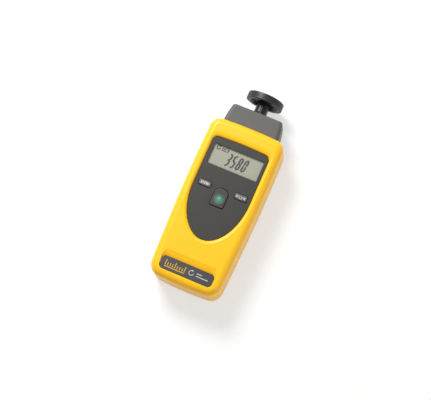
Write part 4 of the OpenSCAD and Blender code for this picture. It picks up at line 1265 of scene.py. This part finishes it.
def right_key_marks():
    """Plain marks on the right key: a ring with a stroke, and two dashes on each side."""
    keys = settings().keys
    x, y, z = keys.x, at(keys.at), KEY_HIGH.z
    radius, line, gap_half, drop, rise = mm(1.5), mm(0.5), mm(0.8), mm(0.2), mm(1.35)
    dash_x, dash_y, dash_half = mm(3.15), mm(0.55), (mm(1.05), mm(0.35))
    ring = peg("ring", radius, (x, y - drop, z), (x, y - drop, z + INK))
    cut(ring, peg("inside", radius - line, (x, y - drop, z - OVER), (x, y - drop, z + OVER)),
        box("gap", (x - gap_half, y, z - OVER), (x + gap_half, y + 2 * radius, z + OVER)))
    stroke = box("stroke", (x - line / 2, y, z), (x + line / 2, y + rise, z + INK))
    dashes = [slab("dash", (x + way * dash_x, y + up * dash_y), dash_half, z, z + INK)
              for way in (-1, 1) for up in (-1, 1)]
    return joined("right_key_marks", [ring, stroke, *dashes])


def measure_key():
    """The arch-shaped key, with the room for its marker."""
    keys = settings().keys
    # Gap round the marker in its room
    room = mm(0.05)
    cap = arch("cap", 0.0, KEY_LOW.z, KEY_HIGH.z)
    flange = arch("flange", keys.gap + keys.flange_reach, KEY_LOW.z, KEY_LOW.z + keys.flange)
    key_body("measure_key_cap", cap, flange)
    cut(cap, plate("marker_room", MARKER_LOW - Vector((room, room, 0)),
                   MARKER_HIGH + Vector((room, room, OVER)), keys.corner))
    return polished(cap)


def marker_lens():
    lens = plate("measure_marker_lens", MARKER_LOW, MARKER_HIGH, settings().keys.corner)
    round_rim(lens, mm(0.12), 2)
    return polished(lens)


class TACHOMETER_OT_keys(bpy.types.Operator):
    """Model the two side keys, the measuring key and its marker, with a green glow painted into their
    colour
    """
    bl_idname = "tachometer.keys"
    bl_label = "Keys"

    def execute(self, context):
        rubber, white = silicone_key(), ink("key_ink", "B9B8BA")
        for side, word, marks in ((-1, "left", left_key_marks), (1, "right", right_key_marks)):
            finished(side_key(f"{word}_key_cap", side), rubber, f"{word}_button", "key_plastic",
                     f"{word}_key")
            finished(marks(), white, f"{word}_button", "key_plastic")
        # The measuring key and its marker get a painted green glow: the key's fades to nothing at its rim,
        # the marker's to a trace
        finished(measure_key(), polycarbonate_painted_glow("polycarbonate_measure_key_painted_glow", 0.0, 0.9, 0.45),
                 "measure_button", "key_plastic", "measure_key")
        finished(marker_lens(), polycarbonate_painted_glow("polycarbonate_marker_green_painted_glow", 0.15, 1.0, 0.3),
                 "measure_button", "marker_plastic", "measure_marker")
        arm, half_line = mm(1.1), mm(0.16)
        star = cross("marker_star", (0, (MARKER_LOW.y + MARKER_HIGH.y) / 2), arm, half_line,
                     MARKER_HIGH.z, MARKER_HIGH.z + INK)
        finished(star, ink("marker_ink", "9CC4B3"), "measure_button", "marker_plastic")
        return {"FINISHED"}


# Label plate

def label_scale():
    """Plain scale at the label's left: nine ticks on a line, every fourth one longer."""
    pitch, wide, foot, long_tick, short_tick = mm(2.1), mm(0.8), -mm(2), mm(5), mm(3)
    line_low, line_high = -mm(3.2), -mm(2.4)
    ticks = range(9)
    first = -settings().label.width / 2 + mm(4)
    marks = [box("tick", (first + i * pitch, foot, 0),
                 (first + i * pitch + wide, foot + (short_tick if i % 4 else long_tick), INK))
             for i in ticks]
    marks.append(box("line", (first, line_low, 0), (first + ticks[-1] * pitch + wide, line_high, INK)))
    return joined("label_scale", marks)


def label_marks():
    """Plain marks at the label's right: a turning arrow and two lines."""
    left, high = mm(8.5), mm(0.8)
    marks = [turning_arrow("turning", mm(2.3), mm(0.6), (mm(4), mm(0.2)), 0.0, INK)]
    for y, right in ((mm(0.9), mm(13)), (-mm(1.3), mm(19))):
        marks.append(box("line", (left, y, 0), (right, y + high, INK)))
    return joined("label_marks", marks)


class TACHOMETER_OT_label(bpy.types.Operator):
    """Model the label plate with a plain scale and marks"""
    bl_idname = "tachometer.label"
    bl_label = "Label plate"

    def execute(self, context):
        label = settings().label
        half_w, half_l = label.width / 2, label.length / 2
        piece = plate("label_plate_film", (-half_w, -half_l, -label.thickness), (half_w, half_l, 0),
                      label.corner, 8)
        round_rim(piece, label.edge, 2)
        finished(polished(label_place(piece)), label_film(), "case", "label_film", "label_plate")
        finished(label_place(label_scale()), ink("label_ink_yellow", "C39A2C"), "case", "label_film")
        finished(label_place(label_marks()), ink("label_ink_white", "B4B3B2"), "case", "label_film")
        return {"FINISHED"}


# Adapter

# How the adapter draws in outside the case, and the stretches that it is cut into there
ADAPTER_CURVE = 1.8
ADAPTER_LENGTHS = 10
# Least radius of the hollow's long edges
HOLLOW_CORNER = mm(1)


def adapter_half(y):
    """Half width of the adapter: straight inside the case, drawn in outside it."""
    adapter = settings().adapter
    top = at(settings().case.length)
    share = max(0.0, (y - top) / (ADAPTER_HIGH.y - top))
    return adapter.width / 2 - (adapter.width - adapter.top_width) / 2 * share ** ADAPTER_CURVE


def adapter_form(name, inset, y0, y1):
    """Body of the adapter, drawn in by inset, from one end to the other."""
    adapter = settings().adapter
    half = adapter.width / 2 - inset
    piece = bar(name, 2 * half, adapter.thickness - 2 * inset,
                max(adapter.corner - inset, HOLLOW_CORNER), y0, y1)
    top = at(settings().case.length)
    slices(piece, (0, 1, 0), [top] + steps(top, y1, ADAPTER_LENGTHS))
    drawn_in(piece, lambda y: (adapter_half(y) - inset) / half)
    return piece


def adapter_shell():
    """Housing of the adapter: hollow, with the bearings' tube and two posts for the screws."""
    adapter = settings().adapter
    low, high = ADAPTER_LOW.y, ADAPTER_HIGH.y
    deep = high - adapter.top_wall
    middle = deep + adapter.top_wall / 2
    tube_end = RING_LOW.y - adapter.tube_lip
    piece = adapter_form("adapter_housing_shell", 0.0, low, high)
    round_rim(piece, adapter.edge, 5, (0, 1, 0))
    cut(piece, adapter_form("adapter_hollow", adapter.wall, low - OVER, deep))
    unite(piece, axle("tube", adapter.bearing / 2 + adapter.tube_wall, tube_end, middle),
          *[axle("post", adapter.post / 2, low + adapter.base, middle, side * adapter.post_x, 24)
            for side in (-1, 1)])
    cut(piece, axle("bore", adapter.bearing / 2, tube_end - OVER, deep),
        axle("shaft_hole", adapter.shaft_hole / 2, deep - OVER, high + OVER),
        axle("ring_groove", (RING_HIGH.x - RING_LOW.x) / 2 + PRESS_GAP, RING_LOW.y - PRESS_GAP,
             RING_HIGH.y),
        *[axle("screw_hole", adapter.screw_hole / 2, low, low + adapter.screw_depth,
               side * adapter.post_x, 24) for side in (-1, 1)])
    return polished(piece)


class TACHOMETER_OT_adapter(bpy.types.Operator):
    """Model the housing of the contact adapter"""
    bl_idname = "tachometer.adapter"
    bl_label = "Adapter"

    def execute(self, context):
        finished(adapter_shell(), abs_adapter(), "adapter", "adapter_plastic", "adapter_housing")
        return {"FINISHED"}


# Wheel

# Outer radius of the tyre, share of an edge's size at which its middle point lies, and the places of
# the tread's grooves as shares of its width
TYRE_R = (TYRE_HIGH.x - TYRE_LOW.x) / 2
EDGE_SHARE = 0.3
GROOVES_AT = (0.3, 0.5, 0.7)
# Steps of the round between the hub and the web
FILLET_STEPS = 6


def contact_wheel():
    """The wheel with its slotted hub, turned from one profile."""
    wheel = settings().wheel
    rim_r, hub_r = TYRE_R - wheel.tyre, wheel.hub / 2
    edge, fillet = wheel.edge, wheel.fillet
    back, front = wheel.hub_length, TYRE_HIGH.y - WHEEL_LOW.y
    web_low, web_high = front - wheel.web - wheel.web_sink, front - wheel.web_sink
    rim_in, rim_mid = rim_r - wheel.rim, rim_r - wheel.rim / 2
    profile = [(0, edge), (0, 0), (hub_r - edge, 0), (hub_r - edge * EDGE_SHARE, edge * EDGE_SHARE),
               (hub_r, edge)]
    profile += [(hub_r + fillet * (1 - math.cos(a)), web_low - fillet * (1 - math.sin(a)))
                for a in (math.pi / 2 * i / FILLET_STEPS for i in range(FILLET_STEPS + 1))]
    profile += [(rim_in - edge, web_low), (rim_in, web_low - edge), (rim_mid - edge, back + edge),
                (rim_mid, back), (rim_r - edge, back), (rim_r, back + edge), (rim_r, front - edge),
                (rim_r - edge, front), (rim_mid, front), (rim_mid - wheel.web_sink, web_high),
                (hub_r, web_high), (hub_r - edge, web_high + edge / 2), (0, web_high + edge / 2)]
    piece = turned("contact_wheel_body", profile, WHEEL_LOW.y)
    slots = []
    for across in ((wheel.hub, wheel.slot / 2), (wheel.slot / 2, wheel.hub)):
        reach = Vector((across[0], 0, across[1]))
        slots.append(box("slot", Vector((0, WHEEL_LOW.y - OVER, AXIS_Z)) - reach,
                         Vector((0, WHEEL_LOW.y + wheel.slot_length, AXIS_Z)) + reach))
    bore = axle("shaft_bore", wheel.shaft / 2 + PRESS_GAP, WHEEL_LOW.y - OVER,
                SHAFT_END_Y + wheel.shaft_end)
    return polished(cut(piece, bore, *slots))


def tyre_ring():
    """The tyre, with rounded edges and fine grooves in its tread."""
    wheel = settings().wheel
    rim_r, width = TYRE_R - wheel.tyre, TYRE_HIGH.y - TYRE_LOW.y
    edge, foot, groove = wheel.tyre_edge, wheel.tyre_foot, wheel.groove
    near_edge = edge * EDGE_SHARE
    profile = [(rim_r, foot), (rim_r + foot, 0), (TYRE_R - edge, 0), (TYRE_R - near_edge, near_edge),
               (TYRE_R, edge)]
    for y in (width * share for share in GROOVES_AT):
        profile += [(TYRE_R, y - groove), (TYRE_R - groove, y), (TYRE_R, y + groove)]
    profile += [(TYRE_R, width - edge), (TYRE_R - near_edge, width - near_edge), (TYRE_R - edge, width),
                (rim_r + foot, width), (rim_r, width - foot)]
    return polished(turned("wheel_tyre_ring", profile, TYRE_LOW.y), 40)


class TACHOMETER_OT_wheel(bpy.types.Operator):
    """Model the contact wheel with its hub, and its tyre"""
    bl_idname = "tachometer.wheel"
    bl_label = "Contact wheel"

    def execute(self, context):
        finished(contact_wheel(), nylon_wheel(), "wheel", "wheel_plastic", "contact_wheel")
        finished(tyre_ring(), rubber_tyre(), "wheel", "tyre_rubber", "wheel_tyre")
        return {"FINISHED"}


# Inner pieces

def refinish(material, *names):
    """Give CAD nodes that keep their shape their real material."""
    for name in names:
        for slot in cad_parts[name].material_slots:
            slot.material = material


class TACHOMETER_OT_inside(bpy.types.Operator):
    """Give the pieces that keep their CAD shape their real materials"""
    bl_idname = "tachometer.inside"
    bl_label = "Inner pieces"

    def execute(self, context):
        refinish(ground_steel(), "drive_shaft", "bearing_outer_rings", "bearing_inner_rings",
                 "bearing_balls", "bearing_spacer", "bearing_ring", "shaft_clip")
        refinish(zinc_steel(), "board_screws", "adapter_screws")
        # Nickel-plated spring steel, drawn: pale and bright
        refinish(surface("nickelled_spring_wire", linear("C3C2BC"), roughness=0.25, grain=mm(0.4),
                         depth=mm(0.002), metallic=1.0), "battery_springs", "battery_contacts")
        # ABS, moulded in black: satin
        refinish(surface("abs_black_frame", linear("1E1E20"), roughness=0.5, grain=mm(0.4),
                         depth=mm(0.005)), "lcd_frame", "sensor_holder", "encoder_disc")
        # Lacquered glass-epoxy board: green, with the soft clouds of its weave
        refinish(surface("glass_epoxy_board", linear("1F6B45"), roughness=0.35, grain=mm(1.2),
                         depth=mm(0.01), cloud=mm(3), tone=0.15), "main_board", "sensor_board")
        refinish(abs_adapter(), "adapter_base")
        # Moulding epoxy of chips: black and dull
        refinish(surface("epoxy_chip", linear("18181A"), roughness=0.45, grain=mm(0.3),
                         depth=mm(0.004)), "processor_chip")
        # Tin-plated cans of small parts: grey and half bright
        refinish(surface("tinned_cans", linear("8E9194"), roughness=0.35, grain=mm(0.5),
                         depth=mm(0.003), metallic=0.8), "board_parts")
        # Silicone rubber, moulded: dark and matt
        refinish(surface("silicone_mat", linear("3A3A3E"), roughness=0.7, grain=mm(0.5),
                         depth=mm(0.006), tone=0.08), "key_mat")
        # Rubber filled with carbon: grey and matt
        refinish(surface("carbon_rubber_strips", linear("8D8F94"), roughness=0.7, grain=mm(0.3),
                         depth=mm(0.005)), "contact_strips")
        refinish(cell_jacket(), "battery_cells")
        # Tinted clear epoxy, cast round the diodes: smooth and glossy
        for name, hex_code, node in (("infrared_epoxy", "A63636", "light_emitter"),
                                     ("dark_epoxy", "2B2F3A", "light_detector")):
            refinish(surface(name, linear(hex_code), roughness=0.15, grain=mm(0.8), depth=mm(0.001),
                             ior=1.55), node)
        # Cast red acrylic, polished: smooth and glossy
        refinish(surface("red_acrylic_filter", linear("6E1F22"), roughness=0.08, grain=mm(1),
                         depth=mm(0.0005), ior=1.49), "sensor_window")
        return {"FINISHED"}


# Camera: the photograph's angle in degrees, and its scale and aim in a frame of 431 x 400 pixels
FRAME_WIDTH, FRAME_HEIGHT = 431, 400
VIEW_AZIMUTH, VIEW_ELEVATION, VIEW_ROLL = 40, 76.9, 24
VIEW_DISTANCE = 1.2
PIXELS_PER_METRE = 1204
TARGET_X, TARGET_Y = 224.9, 192.6
# Strength of the world's light, and the share of the floor's look to the camera that is plain white
WORLD_LEVEL = 0.38
FLOOR_WHITE = 0.6
# The floor lies just under the object, so that the two share no face
FLOOR_Z = -mm(0.2)
FLOOR_SIZE = 6


def view_axes():
    """Right, up and back axes of the camera."""
    azimuth, elevation, roll = (math.radians(a) for a in (VIEW_AZIMUTH, VIEW_ELEVATION, VIEW_ROLL))
    back = Vector((math.sin(azimuth) * math.cos(elevation), -math.cos(azimuth) * math.cos(elevation),
                   math.sin(elevation)))
    right = Vector((0, 1, 0)).cross(back).normalized()
    up = back.cross(right)
    return (math.cos(roll) * right + math.sin(roll) * up,
            math.cos(roll) * up - math.sin(roll) * right, back)


def softbox(name, direction, distance, size, level):
    """Square lamp that faces the object. Its level is the share of a white surface's brightness."""
    direction = direction.normalized()
    bpy.ops.object.light_add(type="AREA", location=direction * distance + Vector((0, 0, AXIS_Z)))
    lamp = bpy.context.object
    lamp.name = name
    lamp.rotation_euler = direction.to_track_quat("Z", "Y").to_euler()
    lamp.data.size = size
    lamp.data.energy = level * math.pi ** 2 * distance ** 2


def paper_floor():
    """Matt white paper: takes the shadow, and is shown to the camera nearly white."""
    material = blank("matt_paper_floor")
    place = add(material, "TexCoord").outputs["Object"]
    fibre = add(material, "TexNoise", {"Vector": place, "Scale": 1 / mm(4), "Detail": 4})
    tint = add(material, "Mix", {"Factor": fibre.outputs["Fac"], MIX_A: linear("F6F6F5"),
                                 MIX_B: linear("FAFAFA")}, data_type="RGBA")
    paper = add(material, "BsdfPrincipled", {"Base Color": tint.outputs[MIX_COLOUR], "Roughness": 0.9})
    white = add(material, "Emission", {"Color": (1, 1, 1, 1), "Strength": 1.0})
    path = add(material, "LightPath")
    seen = add(material, "Math", {0: path.outputs["Is Camera Ray"], 1: path.outputs["Is Glossy Ray"]},
               operation="MAXIMUM")
    share = add(material, "Math", {0: seen.outputs[0], 1: FLOOR_WHITE}, operation="MULTIPLY")
    mixed = add(material, "MixShader", {"Fac": share.outputs[0], 1: paper.outputs["BSDF"],
                                        2: white.outputs["Emission"]})
    add(material, "OutputMaterial", {"Surface": mixed.outputs["Shader"]})
    return material


def studio_world():
    """Even light all round, which the camera sees as white."""
    world = blank("studio", "worlds")
    path = add(world, "LightPath")
    light = add(world, "Background", {"Color": (1, 1, 1, 1), "Strength": WORLD_LEVEL})
    white = add(world, "Background", {"Color": (1, 1, 1, 1), "Strength": 1.0})
    mixed = add(world, "MixShader", {"Fac": path.outputs["Is Camera Ray"],
                                     1: light.outputs["Background"], 2: white.outputs["Background"]})
    add(world, "OutputWorld", {"Surface": mixed.outputs["Shader"]})
    return world


class TACHOMETER_OT_stage(bpy.types.Operator):
    """Set up the floor, the lamps, the world and the camera"""
    bl_idname = "tachometer.stage"
    bl_label = "Stage"

    def execute(self, context):
        scene = context.scene
        floor = start("paper_floor", "plane", size=FLOOR_SIZE, location=(0, 0, FLOOR_Z))
        floor.data.materials.append(paper_floor())
        right, up, back = view_axes()
        softbox("key_softbox", 0.6 * back - 0.32 * right + 0.8 * up, distance=1.2, size=0.45, level=1.18)
        softbox("fill_softbox", 0.5 * back + 0.9 * right - 0.6 * up, distance=1.4, size=1.0, level=0.22)
        scene.world = studio_world()
        scene.view_settings.view_transform = "Standard"
        shift_x = (TARGET_X - FRAME_WIDTH / 2) / PIXELS_PER_METRE
        shift_y = (FRAME_HEIGHT / 2 - TARGET_Y) / PIXELS_PER_METRE
        aim = Vector((0, 0, AXIS_Z)) - right * shift_x - up * shift_y
        bpy.ops.object.camera_add(location=aim + back * VIEW_DISTANCE)
        camera = context.object
        camera.name = "photo_camera"
        camera.rotation_euler = Matrix((right, up, back)).transposed().to_euler()
        camera.data.sensor_width = 36
        camera.data.lens = PIXELS_PER_METRE * VIEW_DISTANCE / FRAME_WIDTH * camera.data.sensor_width
        camera.data.clip_start = mm(10)
        scene.camera = camera
        return {"FINISHED"}


STEPS = [TACHOMETER_OT_case, TACHOMETER_OT_fascia, TACHOMETER_OT_display, TACHOMETER_OT_keys,
         TACHOMETER_OT_label, TACHOMETER_OT_adapter, TACHOMETER_OT_wheel, TACHOMETER_OT_inside,
         TACHOMETER_OT_stage]


class TACHOMETER_PT_panel(bpy.types.Panel):
    """Sizes, colours and build steps of the tachometer"""
    bl_label = "Tachometer"
    bl_idname = "TACHOMETER_PT_panel"
    bl_space_type = "VIEW_3D"
    bl_region_type = "UI"
    bl_category = "Tachometer"

    def draw(self, context):
        for step in STEPS:
            self.layout.operator(step.bl_idname)
        for name, group in SIZE_GROUPS.items():
            part = self.layout.box()
            part.label(text=name.capitalize())
            for size in group.__annotations__:
                part.prop(getattr(context.scene.tachometer, name), size)


CLASSES = [*SIZE_GROUPS.values(), TachometerSettings, *STEPS, TACHOMETER_PT_panel]


def register():
    for cls in CLASSES:
        bpy.utils.register_class(cls)
    bpy.types.Scene.tachometer = bpy.props.PointerProperty(type=TachometerSettings)


def unregister():
    del bpy.types.Scene.tachometer
    for cls in reversed(CLASSES):
        bpy.utils.unregister_class(cls)


def main():
    register()
    for step in STEPS:
        category, name = step.bl_idname.split(".")
        getattr(getattr(bpy.ops, category), name)()


if __name__ == "__main__":
    main()
